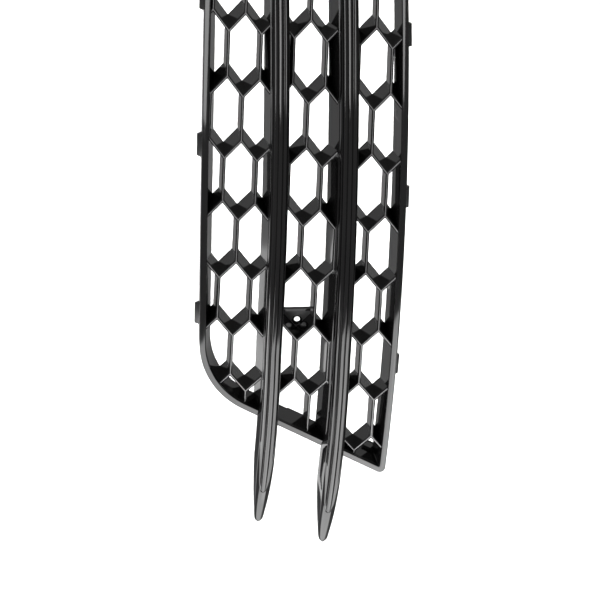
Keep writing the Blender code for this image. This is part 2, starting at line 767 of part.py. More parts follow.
def build_crown(blade, finish):
    low, high = blade.nose - 4.0, blade.top - CROWN_SHORT / 2.0
    body = along_blade(blade, low, high, crown_section(blade), STATION_BIAS)
    made = mesh_object("crown_" + blade.name, *body, finish)
    limit = mesh_object("crown_limit_" + blade.name, *crown_limit(blade), helper=True)
    boolean(made, limit, "INTERSECT")
    return made


def main():
    for old in list(bpy.data.objects):
        bpy.data.objects.remove(old, do_unlink=True)
    gloss = material("gloss_black", (0.012, 0.012, 0.013), 0.08)
    satin = material("satin_black", (0.02, 0.02, 0.021), 0.35)
    zinc = material("black_zinc", (0.10, 0.10, 0.11), 0.35, 0.9)

    left = Blade("left", -17.5, 0.034, 0.00030, -20.0, -154.5, -125.6, 4.5,
                 (216.0, 133.0, 36.0, -42.0))
    right = Blade("right", 30.7, 0.031, 0.00026, 0.0, -172.4, -142.8, 7.5,
                  (216.0, 133.0, 36.0, -62.0))
    blades = (left, right)
    for blade in blades:
        blade.pocket_low = outline_z("bottom", blade.centre(-80.0)) + POCKET_START

    seats = [Seat("left", 176.0), Seat("left", 64.0), Seat("bottom", 47.0),
             Seat("right", 30.0), Seat("right", 150.0), Seat("top", 10.0)]
    tongues = {f"tongue_left_{n + 1}": Seat("left", z) for n, z in enumerate(LEFT_TONGUES)}
    tongues.update({f"tongue_right_{n + 1}": Seat("right", z)
                    for n, z in enumerate(RIGHT_TONGUES)})

    build_frame(seats, tongues, gloss)
    build_insert(blades, seats, gloss)
    for blade in blades:
        build_blade(blade, gloss)
        build_crown(blade, gloss)
        for n, (x, z, base) in enumerate(blade_seats(blade)):
            screw(f"blade_screw_{blade.name}_{n + 1}", x, z, base, HEAD_RADIUS, SHANK_RADIUS,
                  SPINE_FLOOR + GAP, BLADE_SCREW_END, zinc)
    for n, seat in enumerate(seats):
        spot = seat.origin + seat.normal * SCREW_OFFSET
        screw(f"insert_screw_{n + 1}", spot.x, spot.y, sweep(*seat.origin), SMALL_HEAD_RADIUS,
              SMALL_SHANK_RADIUS, LEDGE_FAR + GAP, BOSS_FRONT + 3.0, zinc)
    for name, seat in tongues.items():
        build_tongue(name, seat, satin)


main()
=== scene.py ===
"""Side intake grille of a car bumper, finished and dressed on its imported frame.

The grille stands on its outboard end.  A deep surround frame carries a honeycomb
moulding; two long blades with ridged crown strips run over it and past its lower
edge; sprung tongues in the flanks snap into the bumper.

Axes: +X across the grille, +Z along the blades, -Y out of the front.  The origin
is the middle of the bumper screw's hole, on the front face of the screw plate.
Sizes are in millimetres and become metres in ``FrontSurface.point``.  "Depth" is
measured along +Y from the honeycomb's swept front surface.
"""

from __future__ import annotations

import logging
from dataclasses import dataclass, field
from enum import Enum
from math import atan2, cos, pi, radians, sin, sqrt, tan
from typing import Callable, Iterable, Sequence

import bmesh
import bpy
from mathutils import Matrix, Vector

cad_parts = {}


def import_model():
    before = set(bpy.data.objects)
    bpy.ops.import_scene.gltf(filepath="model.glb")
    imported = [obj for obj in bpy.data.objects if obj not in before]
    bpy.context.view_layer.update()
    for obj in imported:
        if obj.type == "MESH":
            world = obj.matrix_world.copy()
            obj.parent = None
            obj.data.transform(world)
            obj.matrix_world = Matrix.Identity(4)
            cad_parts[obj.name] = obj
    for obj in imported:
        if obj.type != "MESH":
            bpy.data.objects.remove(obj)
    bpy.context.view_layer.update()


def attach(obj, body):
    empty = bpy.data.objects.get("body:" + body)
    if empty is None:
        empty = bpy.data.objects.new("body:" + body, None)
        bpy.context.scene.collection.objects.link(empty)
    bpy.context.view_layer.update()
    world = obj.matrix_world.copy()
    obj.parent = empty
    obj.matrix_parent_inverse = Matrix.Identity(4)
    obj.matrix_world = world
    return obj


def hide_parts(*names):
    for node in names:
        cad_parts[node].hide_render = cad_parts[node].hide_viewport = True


LOG = logging.getLogger("intake_grille")

MM = 0.001
GAP = 0.3
FAR_AWAY = 300.0
LARGEST_SHARE = 0.42
MAIN_BODY = "grille"

Pair = tuple[float, float]
Loop = list[Vector]
Shape = tuple[list[Vector], list[tuple[int, ...]]]


class Join(Enum):
    """How one body changes another."""

    ADD = "UNION"
    CUT = "DIFFERENCE"
    KEEP = "INTERSECT"


class Side(Enum):
    """Edges of the frame, as seen from the front."""

    LEFT = "left"
    RIGHT = "right"
    TOP = "top"
    BOTTOM = "bottom"


# --- plain geometry ----------------------------------------------------------

@dataclass(frozen=True)
class FrontSurface:
    """Swept surface on which the front edges of the honeycomb lie."""

    setback: float = 16.0
    slope_x: float = -0.115
    slope_z: float = 0.053
    twist: float = -0.00032
    bow: float = 0.00081

    def y(self, x: float, z: float) -> float:
        """Gives the surface's Y at one place, in millimetres."""
        return (-self.setback + self.slope_x * x + self.slope_z * z
                + self.twist * x * z + self.bow * z * z)

    def point(self, x: float, z: float, depth: float) -> Vector:
        """Gives the point at a depth behind the surface, in metres."""
        return Vector((x, self.y(x, z) + depth, z)) * MM


SURFACE = FrontSurface()


def bridge(loops: Sequence[Loop], closed: bool) -> Shape:
    """Joins successive loops of equal length with quads.

    Args:
        loops: Loops of points in order along the body.
        closed: True joins the last loop to the first; False caps both ends.

    Returns:
        The vertices and faces of the body.
    """
    size = len(loops[0])
    verts = [point for loop in loops for point in loop]
    faces: list[tuple[int, ...]] = []
    for n in range(len(loops) if closed else len(loops) - 1):
        low, high = n * size, ((n + 1) % len(loops)) * size
        for m in range(size):
            k = (m + 1) % size
            faces.append((low + m, low + k, high + k, high + m))
    if not closed:
        faces.append(tuple(range(size)))
        faces.append(tuple(range((len(loops) - 1) * size, len(loops) * size)))
    return verts, faces


def pooled(shapes: Iterable[Shape]) -> Shape:
    """Puts several separate bodies into one list of vertices and faces."""
    verts: list[Vector] = []
    faces: list[tuple[int, ...]] = []
    for more_verts, more_faces in shapes:
        base = len(verts)
        verts += more_verts
        faces += [tuple(base + n for n in face) for face in more_faces]
    return verts, faces


def cylinder(x: float, z: float, base: float, radius: float, near: float, far: float,
             sides: int = 32) -> Shape:
    """Makes a round body along Y.

    Args:
        x: Centre across the grille.
        z: Centre along the grille.
        base: Y from which both ends are counted.
        radius: Radius of the body.
        near: Front end, counted from base.
        far: Rear end, counted from base.
        sides: Number of flats round the body.

    Returns:
        The vertices and faces of the body.
    """
    loops = [[Vector((x + radius * cos(2 * pi * n / sides), base + depth,
                      z + radius * sin(2 * pi * n / sides))) * MM for n in range(sides)]
             for depth in (near, far)]
    return bridge(loops, False)


def rounded(points: Sequence[Pair], radii: Sequence[float], steps: int = 3) -> list[Pair]:
    """Rounds the corners of a closed profile.

    Args:
        points: Corners of the profile in order.
        radii: Wanted radius of each corner; zero keeps the corner sharp.
        steps: Number of pieces in each arc.

    Returns:
        The new profile, always with the same number of points for the same radii.
    """
    made: list[Pair] = []
    for n, (corner, radius) in enumerate(zip(points, radii)):
        here = Vector(corner)
        before, after = Vector(points[n - 1]) - here, Vector(points[(n + 1) % len(points)]) - here
        if radius <= 0.0:
            made.append(corner)
            continue
        reach = min(radius, LARGEST_SHARE * before.length, LARGEST_SHARE * after.length)
        start, end = here + before.normalized() * reach, here + after.normalized() * reach
        for m in range(steps + 1):
            t = m / steps
            spot = start * (1 - t) ** 2 + here * (2 * t * (1 - t)) + end * t * t
            made.append((spot.x, spot.y))
    return made


def inset_polygon(corners: Sequence[Pair], distances: Sequence[float]) -> list[Vector]:
    """Moves each edge of a convex polygon inwards by its own distance.

    Args:
        corners: Corners in order.
        distances: Distance for the edge that starts at each corner.

    Returns:
        The moved corners.
    """
    count = len(corners)
    centre = sum((Vector(c) for c in corners), Vector((0.0, 0.0))) / count
    lines = []
    for n in range(count):
        start, end = Vector(corners[n]), Vector(corners[(n + 1) % count])
        along = (end - start).normalized()
        normal = Vector((-along.y, along.x))
        if normal.dot(centre - start) < 0.0:
            normal = -normal
        lines.append((start + normal * distances[n], along))
    moved = []
    for n in range(count):
        (p, a), (q, b) = lines[n - 1], lines[n]
        cross = a.x * b.y - a.y * b.x
        moved.append(p + a * (((q.x - p.x) * b.y - (q.y - p.y) * b.x) / cross))
    return moved


@dataclass(frozen=True)
class Outline:
    """Outer outline of the frame, laid out on a straight blank and then bowed."""

    width: float = 138.0
    top_left: float = 283.0
    bottom_left: float = -45.7
    bottom_right: float = -114.5
    top_right: float = 268.0
    radii: tuple[float, float, float, float] = (26.0, 56.0, 4.0, 16.0)
    sharpest: float = 0.8
    straight_step: float = 5.0
    arc_step: float = radians(3.5)

    @staticmethod
    def left_edge(z: float) -> float:
        """Gives the X of the frame's left flank."""
        return -68.9 + 0.0193 * z + 0.0000555 * z * z

    @staticmethod
    def right_edge(z: float) -> float:
        """Gives the X of the frame's right flank."""
        drop = 233.0 - z
        return 78.5 - 0.0075 * drop - 0.000125 * drop * drop

    def _bow(self, point: Pair) -> Pair:
        """Moves a point of the straight blank onto the bowed frame."""
        x, z = point
        share = x / self.width
        return self.left_edge(z) * (1.0 - share) + self.right_edge(z) * share, z

    def _arc(self, before: Vector, corner: Vector, after: Vector, radius: float) -> list[Pair]:
        """Makes the arc that rounds one corner of the blank."""
        to_before, to_after = before - corner, after - corner
        half_angle = to_before.angle(to_after) / 2.0
        to_before.normalize()
        to_after.normalize()
        reach = radius / tan(half_angle)
        centre = corner + (to_before + to_after).normalized() * (radius / sin(half_angle))
        start, end = corner + to_before * reach - centre, corner + to_after * reach - centre
        turn, first = start.angle(end), atan2(start.y, start.x)
        direction = 1.0 if start.x * end.y - start.y * end.x > 0 else -1.0
        steps = max(4, round(turn / self.arc_step))
        angles = [first + direction * turn * n / steps for n in range(steps + 1)]
        return [(centre.x + radius * cos(a), centre.y + radius * sin(a)) for a in angles]

    def at(self, side: float, end: float) -> list[Pair]:
        """Lays out the outline moved inwards.

        Args:
            side: Distance inwards at the two flanks.
            end: Distance inwards at the top and the bottom.

        Returns:
            Points anticlockwise as seen from the front, always equally many.
        """
        blank = [(0.0, self.top_left), (0.0, self.bottom_left),
                 (self.width, self.bottom_right), (self.width, self.top_right)]
        corners = inset_polygon(blank, [side, end, side, end])
        arcs = []
        for n, corner in enumerate(corners):
            radius = max(self.radii[n] - (side + end) / 2.0, self.sharpest)
            arcs.append(self._arc(corners[n - 1], corner, corners[(n + 1) % 4], radius))
        points: list[Pair] = []
        for n, arc in enumerate(arcs):
            points += arc
            start, finish = Vector(arc[-1]), Vector(arcs[(n + 1) % 4][0])
            full = (Vector(blank[(n + 1) % 4]) - Vector(blank[n])).length
            pieces = round(full / self.straight_step)
            points += [tuple(start.lerp(finish, m / pieces)) for m in range(1, pieces)]
        return [self._bow(point) for point in points]

    def swept(self, side: float, end: float, depth: float) -> Loop:
        """Lays the moved outline on the front surface, at one depth."""
        return [SURFACE.point(x, z, depth) for x, z in self.at(side, end)]

    def edge_z(self, side: Side, x: float) -> float:
        """Gives the height of the outline's top or bottom edge at x."""
        points = self.at(0.0, 0.0)
        heights = []
        for (x0, z0), (x1, z1) in zip(points, points[1:] + points[:1]):
            if min(x0, x1) <= x < max(x0, x1):
                heights.append(z0 + (z1 - z0) * (x - x0) / (x1 - x0))
        return max(heights) if side is Side.TOP else min(heights)


OUTLINE = Outline()


class Seat:
    """Place on the outline, with directions along it and inwards from it."""

    def __init__(self, side: Side, value: float) -> None:
        """Finds the place.

        Args:
            side: Edge of the frame.
            value: Z on a flank, or X on the top or bottom edge.
        """
        if side in (Side.LEFT, Side.RIGHT):
            edge = OUTLINE.left_edge if side is Side.LEFT else OUTLINE.right_edge
            start, end = (Vector((edge(value + d), value + d)) for d in (1.0, -1.0))
        else:
            start, end = (Vector((value + d, OUTLINE.edge_z(side, value + d))) for d in (-1.0, 1.0))
        self.tangent = (end - start).normalized()
        self.origin = (start + end) / 2.0
        inwards = Vector((-self.tangent.y, self.tangent.x))
        self.normal = inwards if side in (Side.LEFT, Side.BOTTOM) else -inwards

    def flat(self, along: float, offset: float, depth: float) -> Vector:
        """Gives a point whose depth is counted from the seat's own place."""
        spot = self.origin + self.tangent * along + self.normal * offset
        return Vector((spot.x, SURFACE.y(*self.origin) + depth, spot.y)) * MM

    def swept(self, along: float, offset: float, depth: float) -> Vector:
        """Gives a point whose depth is counted from the surface in front of it."""
        spot = self.origin + self.tangent * along + self.normal * offset
        return SURFACE.point(spot.x, spot.y, depth)

    def prism(self, profile: Sequence[Pair], half: float, flat: bool = True) -> Shape:
        """Extrudes a profile both ways along the outline.

        Args:
            profile: Corners as (offset inwards, depth).
            half: Half of the length.
            flat: True keeps the ends square; False follows the front surface.

        Returns:
            The vertices and faces of the body.
        """
        point = self.flat if flat else self.swept
        return bridge([[point(a, o, d) for o, d in profile] for a in (-half, half)], False)


# --- finishes ----------------------------------------------------------------

@dataclass(frozen=True)
class Finish:
    """Procedural surface of one kind of material."""

    name: str
    slot: str
    dark: tuple[float, float, float]
    light: tuple[float, float, float]
    smooth: float
    rough: float
    specular: float
    metal: float
    grain_size: float
    grain_depth: float
    streak_size: float

    def build(self) -> bpy.types.Material:
        """Builds the material's node tree.

        Returns:
            The new material, or the one already built under this name.
        """
        made = bpy.data.materials.get(self.name)
        if made:
            return made
        made = bpy.data.materials.new(self.name)
        made.use_nodes = True
        nodes, links = made.node_tree.nodes, made.node_tree.links
        shader = nodes["Principled BSDF"]
        shader.inputs["Metallic"].default_value = self.metal
        shader.inputs["Specular IOR Level"].default_value = self.specular
        shader.inputs["IOR"].default_value = 1.5
        place = nodes.new("ShaderNodeTexCoord")

        cloud = nodes.new("ShaderNodeTexNoise")
        cloud.inputs["Scale"].default_value = 28.0
        cloud.inputs["Detail"].default_value = 3.0
        links.new(place.outputs["Object"], cloud.inputs["Vector"])
        tint = nodes.new("ShaderNodeMix")
        tint.data_type = "RGBA"
        tint.inputs["A"].default_value = (*self.dark, 1.0)
        tint.inputs["B"].default_value = (*self.light, 1.0)
        links.new(cloud.outputs["Fac"], tint.inputs["Factor"])
        links.new(tint.outputs["Result"], shader.inputs["Base Color"])

        stretch = nodes.new("ShaderNodeMapping")
        stretch.inputs["Scale"].default_value = (1.0, 1.0, 0.12)
        links.new(place.outputs["Object"], stretch.inputs["Vector"])
        streak = nodes.new("ShaderNodeTexNoise")
        streak.inputs["Scale"].default_value = 1.0 / (self.streak_size * MM)
        streak.inputs["Detail"].default_value = 4.0
        links.new(stretch.outputs["Vector"], streak.inputs["Vector"])
        spread = nodes.new("ShaderNodeMapRange")
        spread.inputs["From Min"].default_value = 0.3
        spread.inputs["From Max"].default_value = 0.75
        spread.inputs["To Min"].default_value = self.smooth
        spread.inputs["To Max"].default_value = self.rough
        links.new(streak.outputs["Fac"], spread.inputs["Value"])
        links.new(spread.outputs["Result"], shader.inputs["Roughness"])

        grain = nodes.new("ShaderNodeTexNoise")
        grain.inputs["Scale"].default_value = 1.0 / (self.grain_size * MM)
        grain.inputs["Detail"].default_value = 2.0
        links.new(place.outputs["Object"], grain.inputs["Vector"])
        bump = nodes.new("ShaderNodeBump")
        bump.inputs["Distance"].default_value = self.grain_depth * MM
        bump.inputs["Strength"].default_value = 0.5
        links.new(grain.outputs["Fac"], bump.inputs["Height"])
        links.new(bump.outputs["Normal"], shader.inputs["Normal"])
        return made


GLOSS = Finish("gloss_black_moulding", "gloss_black", (0.004, 0.004, 0.0043),
               (0.0075, 0.0073, 0.0075), 0.045, 0.11, 0.5, 0.0, 2.4, 0.0025, 1.6)
REAR = Finish("rear_black_moulding", "gloss_black", (0.008, 0.008, 0.0085),
              (0.016, 0.0155, 0.016), 0.24, 0.40, 0.5, 0.0, 0.35, 0.03, 0.8)
SATIN = Finish("satin_black_moulding", "satin_black", (0.010, 0.010, 0.0105),
               (0.022, 0.0215, 0.022), 0.28, 0.45, 0.5, 0.0, 0.30, 0.03, 0.8)
# Painted highlight: a light grey on the ribs' flat crest edges stands in for the light caught along
# them.
CREST_HIGHLIGHT = Finish("rib_edge_land", "gloss_black", (0.12, 0.118, 0.12), (0.17, 0.168, 0.17),
              0.22, 0.36, 0.5, 0.0, 0.8, 0.004, 0.6)
# Painted sheen: the screw plate's face gets a lighter grey that stands in for the soft reflection
# on it. Its higher roughness is its own finish.
PLATE_SHEEN = Finish("screw_plate_face", "gloss_black", (0.055, 0.054, 0.055), (0.068, 0.067, 0.068),
               0.38, 0.5, 0.5, 0.0, 0.5, 0.01, 0.6)
ZINC = Finish("black_zinc_steel", "black_zinc", (0.06, 0.06, 0.065),
              (0.14, 0.135, 0.14), 0.22, 0.42, 0.5, 0.9, 0.12, 0.01, 0.3)


# --- mesh making -------------------------------------------------------------

def link_object(name: str, data: bpy.types.Mesh) -> bpy.types.Object:
    """Puts a mesh into the scene under the given name."""
    made = bpy.data.objects.new(name, data)
    bpy.context.scene.collection.objects.link(made)
    return made


def make_object(name: str, shape: Shape) -> bpy.types.Object:
    """Makes an object with its faces turned outwards.

    Args:
        name: Name of the new object.
        shape: Its vertices and faces.

    Returns:
        The object, without materials.
    """
    data = bpy.data.meshes.new(name)
    data.from_pydata(shape[0], [], shape[1])
    body = bmesh.new()
    body.from_mesh(data)
    bmesh.ops.recalc_face_normals(body, faces=body.faces)
    body.to_mesh(data)
    body.free()
    return link_object(name, data)


def settle(piece: bpy.types.Object) -> None:
    """Turns the piece with its modifiers into a plain mesh."""
    graph = bpy.context.evaluated_depsgraph_get()
    data = bpy.data.meshes.new_from_object(piece.evaluated_get(graph))
    old = piece.data
    piece.modifiers.clear()
    piece.data = data
    data.name = piece.name
    bpy.data.meshes.remove(old)


def shape_with(piece: bpy.types.Object, steps: Iterable[tuple[Shape, Join]],
               thorough: bool = False) -> None:
    """Adds, cuts or keeps other bodies, one after another.

    Args:
        piece: Object to change.
        steps: Bodies, each with how it changes the piece.
        thorough: True also resolves slivers where faces of the piece cross, at a cost in time.
    """
    tools = []
    for n, (shape, how) in enumerate(steps):
        tool = make_object(f"{piece.name}_tool_{n}", shape)
        change = piece.modifiers.new(tool.name, "BOOLEAN")
        change.operation, change.object, change.solver = how.value, tool, "EXACT"
        change.use_self = thorough
        tools.append(tool)
    settle(piece)
    for tool in tools:
        data = tool.data
        bpy.data.objects.remove(tool)
        bpy.data.meshes.remove(data)


def carved(shape: Shape, steps: Iterable[tuple[Shape, Join]]) -> Shape:
    """Changes a body as ``shape_with`` does and gives it back as plain lists."""
    piece = make_object("carved", shape)
    shape_with(piece, steps)
    data = piece.data
    result = ([vertex.co.copy() for vertex in data.vertices],
              [tuple(face.vertices) for face in data.polygons])
    bpy.data.objects.remove(piece)
    bpy.data.meshes.remove(data)
    return result


def soften(piece: bpy.types.Object, width: float, angle: float = 40.0, segments: int = 2) -> None:
    """Rounds the sharp edges of a piece by a small radius."""
    edge = piece.modifiers.new("edges", "BEVEL")
    edge.width = width * MM
    edge.segments = segments
    edge.limit_method = "ANGLE"
    edge.angle_limit = radians(angle)
    edge.use_clamp_overlap = True
    settle(piece)


def dress(piece: bpy.types.Object, front: Finish, rear: Finish | None = None,
          sharp: float = 28.0) -> None:
    """Gives a piece its finish and its shading.

    Args:
        piece: Object to finish.
        front: Finish of the whole piece.
        rear: Finish of the faces that look to the back, if it differs.
        sharp: Angle past which an edge is shaded sharp, in degrees.
    """
    data = piece.data
    data.materials.clear()
    data.materials.append(front.build())
    if rear:
        data.materials.append(rear.build())
        for face in data.polygons:
            face.material_index = 1 if face.normal.y > 0.55 else 0
    data.shade_smooth()
    data.set_sharp_from_angle(angle=radians(sharp))


def mount(piece: bpy.types.Object, body: str, *nodes: str) -> None:
    """Hangs a finished piece on its body in place of its plain solids.

    Args:
        piece: Finished object.
        body: Name of the body that it moves with.
        nodes: Solids that it stands for.
    """
    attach(piece, body)
    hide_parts(*nodes)
    LOG.info("%s: %d faces on %s, for %s", piece.name, len(piece.data.polygons), body,
             ", ".join(nodes))


# --- node trees --------------------------------------------------------------

class TreeMaker:
    """Lays out one geometry tree with named inputs."""

    def __init__(self, name: str) -> None:
        """Starts an empty tree of the given name."""
        self.tree = bpy.data.node_groups.new(name, "GeometryNodeTree")
        self.keys: dict[str, str] = {}
        self.socket("Geometry", "NodeSocketGeometry")
        self.tree.interface.new_socket("Geometry", in_out="OUTPUT",
                                       socket_type="NodeSocketGeometry")
        self.entry = self.tree.nodes.new("NodeGroupInput")
        self.exit = self.tree.nodes.new("NodeGroupOutput")

    def socket(self, name: str, kind: str) -> None:
        """Adds a named input of the given socket type."""
        item = self.tree.interface.new_socket(name, in_out="INPUT", socket_type=kind)
        self.keys[name] = item.identifier

    def given(self, name: str) -> bpy.types.NodeSocket:
        """Returns the output of the entry that carries a named input."""
        return self.entry.outputs[name]

    def node(self, kind: str, **inputs: object) -> bpy.types.Node:
        """Adds a node and links or sets its inputs.

        Args:
            kind: Type name of the node.
            inputs: Socket names, with spaces as underscores, and their values.

        Returns:
            The new node.
        """
        made = self.tree.nodes.new(kind)
        for name, value in inputs.items():
            self.feed(made, name.replace("_", " "), value)
        return made

    def feed(self, node: bpy.types.Node, key: str | int, value: object) -> None:
        """Links or sets one input of a node."""
        socket = node.inputs[key]
        if isinstance(value, bpy.types.NodeSocket):
            self.tree.links.new(value, socket)
        else:
            socket.default_value = value

    def math(self, operation: str, a: object, b: object = 0.0) -> bpy.types.NodeSocket:
        """Adds a calculation on two numbers and returns its result."""
        made = self.tree.nodes.new("ShaderNodeMath")
        made.operation = operation
        self.feed(made, 0, a)
        self.feed(made, 1, b)
        return made.outputs[0]

    def finish(self, geometry: bpy.types.NodeSocket) -> None:
        """Ends the tree: real geometry, then its material."""
        real = self.node("GeometryNodeRealizeInstances", Geometry=geometry)
        painted = self.node("GeometryNodeSetMaterial", Geometry=real.outputs[0],
                            Material=self.given("Material"))
        self.tree.links.new(painted.outputs[0], self.exit.inputs[0])

    def run_on(self, piece: bpy.types.Object, values: dict[str, object]) -> None:
        """Runs the tree on a piece and keeps the plain result.

        Args:
            piece: Object whose mesh goes into the tree.
            values: Named inputs and what they are set to.
        """
        change = piece.modifiers.new(self.tree.name, "NODES")
        change.node_group = self.tree
        for name, value in values.items():
            change[self.keys[name]] = value
        settle(piece)


def honeycomb_tree() -> TreeMaker:
    """Builds the tree that lays one cell out as the swept honeycomb.

    Returns:
        The tree; its input geometry is one cell with its depth along Y.
    """
    maker = TreeMaker("honeycomb")
    for name in ("Columns", "Rows"):
        maker.socket(name, "NodeSocketInt")
    for name in ("Cell Pitch", "Row Pitch", "Turn", "Setback", "Slope X", "Slope Z", "Twist",
                 "Bow", "Weld"):
        maker.socket(name, "NodeSocketFloat")
    for name in ("First Cell", "Lattice Origin"):
        maker.socket(name, "NodeSocketVector")
    maker.socket("Material", "NodeSocketMaterial")
    given, math = maker.given, maker.math

    index = maker.node("GeometryNodeInputIndex").outputs[0]
    column = math("FLOORED_MODULO", index, given("Columns"))
    row = math("FLOOR", math("DIVIDE", index, given("Columns")))
    stagger = math("MULTIPLY", math("FLOORED_MODULO", row, 2.0), 0.5)
    across = math("MULTIPLY", math("ADD", column, stagger), given("Cell Pitch"))
    down = math("MULTIPLY", math("MULTIPLY", row, given("Row Pitch")), -1.0)
    spot = maker.node("ShaderNodeCombineXYZ", X=across, Z=down)
    start = maker.tree.nodes.new("ShaderNodeVectorMath")
    maker.feed(start, 0, spot.outputs[0])
    maker.feed(start, 1, given("First Cell"))
    count = math("MULTIPLY", given("Columns"), given("Rows"))
    points = maker.node("GeometryNodePoints", Count=count, Position=start.outputs[0])
    cells = maker.node("GeometryNodeInstanceOnPoints", Points=points.outputs[0],
                       Instance=given("Geometry"))
    real = maker.node("GeometryNodeRealizeInstances", Geometry=cells.outputs[0])
    welded = maker.node("GeometryNodeMergeByDistance", Geometry=real.outputs[0],
                        Distance=given("Weld"))

    turn = maker.tree.nodes.new("ShaderNodeVectorRotate")
    turn.rotation_type = "Y_AXIS"
    maker.feed(turn, "Vector", maker.node("GeometryNodeInputPosition").outputs[0])
    maker.feed(turn, "Angle", given("Turn"))
    moved = maker.tree.nodes.new("ShaderNodeVectorMath")
    maker.feed(moved, 0, turn.outputs[0])
    maker.feed(moved, 1, given("Lattice Origin"))
    flat = maker.node("ShaderNodeSeparateXYZ", Vector=moved.outputs[0])
    x, depth, z = flat.outputs
    sweep = math("SUBTRACT", math("MULTIPLY", x, given("Slope X")), given("Setback"))
    sweep = math("ADD", sweep, math("MULTIPLY", z, given("Slope Z")))
    sweep = math("ADD", sweep, math("MULTIPLY", math("MULTIPLY", x, z), given("Twist")))
    sweep = math("ADD", sweep, math("MULTIPLY", math("MULTIPLY", z, z), given("Bow")))
    swept = maker.node("ShaderNodeCombineXYZ", X=x, Y=math("ADD", depth, sweep), Z=z)
    laid = maker.node("GeometryNodeSetPosition", Geometry=welded.outputs[0],
                      Position=swept.outputs[0])
    maker.finish(laid.outputs[0])
    return maker


def scatter_tree() -> TreeMaker:
    """Builds the tree that puts one part on every point, each turned by chance.

    Returns:
        The tree; its input geometry holds the points.
    """
    maker = TreeMaker("parts_on_points")
    maker.socket("Part", "NodeSocketObject")
    maker.socket("Most Turn", "NodeSocketFloat")
    maker.socket("Seed", "NodeSocketInt")
    maker.socket("Material", "NodeSocketMaterial")
    part = maker.node("GeometryNodeObjectInfo", Object=maker.given("Part"))
    chance = maker.tree.nodes.new("FunctionNodeRandomValue")
    chance.data_type = "FLOAT"
    maker.feed(chance, "Seed", maker.given("Seed"))
    numbers = [s for s in chance.inputs if s.type == "VALUE" and s.name == "Max"]
    maker.tree.links.new(maker.given("Most Turn"), numbers[0])
    value = next(s for s in chance.outputs if s.type == "VALUE")
    angles = maker.node("ShaderNodeCombineXYZ", Y=value)
    put = maker.node("GeometryNodeInstanceOnPoints", Points=maker.given("Geometry"),
                     Instance=part.outputs["Geometry"], Rotation=angles.outputs[0])
    maker.finish(put.outputs[0])
    return maker


# --- blades ------------------------------------------------------------------

@dataclass(frozen=True)
class BladeRoute:
    """Route and sizes of one blade along the grille."""

    name: str
    x: float
    lean: float
    bend: float
    bend_from: float
    tip: float
    nose: float
    flare: float
    screws: tuple[float, ...]
    half_width: float = 5.9
    full_height: float = 6.8
    tip_half: float = 2.6
    tip_fullness: float = 2.2
    tip_height: float = 2.6
    tip_fall: float = 1.6
    tip_round: float = 3.5
    taper: float = 60.0
    top_overrun: float = 4.0
    top_taper: float = 9.0
    top_narrowing: float = 0.7
    bulge: float = 1.5
    bulge_middle: float = 110.0
    bulge_reach: float = 125.0
    foot: float = 0.15
    free_foot: float = 0.6
    foot_change: Pair = (16.0, 6.0)
    pocket_start: float = 18.0

    @property
    def top(self) -> float:
        """Height of the blade's upper end."""
        return OUTLINE.edge_z(Side.TOP, self.centre(OUTLINE.top_right)) + self.top_overrun

    @property
    def pocket_low(self) -> float:
        """Height of the lower end of the hollow behind the blade."""
        return OUTLINE.edge_z(Side.BOTTOM, self.centre(-80.0)) + self.pocket_start

    def centre(self, z: float) -> float:
        """Gives the X of the blade's middle."""
        below = max(0.0, self.bend_from - z)
        bulge = self.bulge * max(0.0, 1.0 - ((z - self.bulge_middle) / self.bulge_reach) ** 2)
        return self.x + self.lean * z - self.bend * below * below + bulge

    def half(self, z: float) -> float:
        """Gives half of the blade's width."""
        run, left = z - self.tip, self.top - z
        taper = max(0.0, 1.0 - run / self.taper)
        growth = 1.0 - taper ** self.tip_fullness
        width = self.tip_half + (self.half_width - self.tip_half) * growth
        if run < self.tip_round:
            width *= sqrt(max(0.0, 1.0 - (1.0 - run / self.tip_round) ** 2))
        if left < self.top_taper:
            width *= sqrt(max(0.0, 1.0 - self.top_narrowing * (1.0 - left / self.top_taper) ** 2))
        return width

    def height(self, z: float) -> float:
        """Gives how far the blade stands over its foot."""
        taper = max(0.0, 1.0 - (z - self.tip) / self.taper)
        return self.full_height - (self.full_height - self.tip_height) * taper ** self.tip_fall

    def foot_flare(self, z: float) -> float:
        """Gives how far the outer flank spreads at its foot, more below the frame's edge."""
        high, low = self.foot_change
        change = (z - self.pocket_low + self.pocket_start - low) / (high - low)
        share = self.free_foot + (self.foot - self.free_foot) * min(1.0, max(0.0, change))
        return self.flare * share * min(1.0, max(0.0, (z - self.tip) / self.taper + 0.05))

    def seats(self) -> list[tuple[float, float, float]]:
        """Gives x, z and base Y of each of the blade's screws."""
        return [(self.centre(z), z, SURFACE.y(self.centre(z), z)) for z in self.screws]

    def along(self, low: float, high: float, section: Callable[[float], list[Pair]],
              step: float = 4.0, bias: float = 1.0) -> Shape:
        """Sweeps a section along the blade.

        Args:
            low: Lower end.
            high: Upper end.
            section: Gives (sideways, depth) points at a height.
            step: Distance between stations.
            bias: Over 1 crowds the stations towards the lower end.

        Returns:
            The vertices and faces of the body.
        """
        count = max(2, round((high - low) / step))
        heights = [low + (high - low) * (n / count) ** bias for n in range(count + 1)]
        return bridge([[SURFACE.point(self.centre(z) + side, z, depth)
                        for side, depth in section(z)] for z in heights], False)


ROUTES = (
    BladeRoute("left", -17.5, 0.034, 0.00030, -20.0, -154.5, -125.6, 4.5,
               (216.0, 133.0, 36.0, -42.0)),
    BladeRoute("right", 30.7, 0.031, 0.00026, 0.0, -172.4, -142.8, 7.5,
               (216.0, 133.0, 36.0, -62.0)),
)


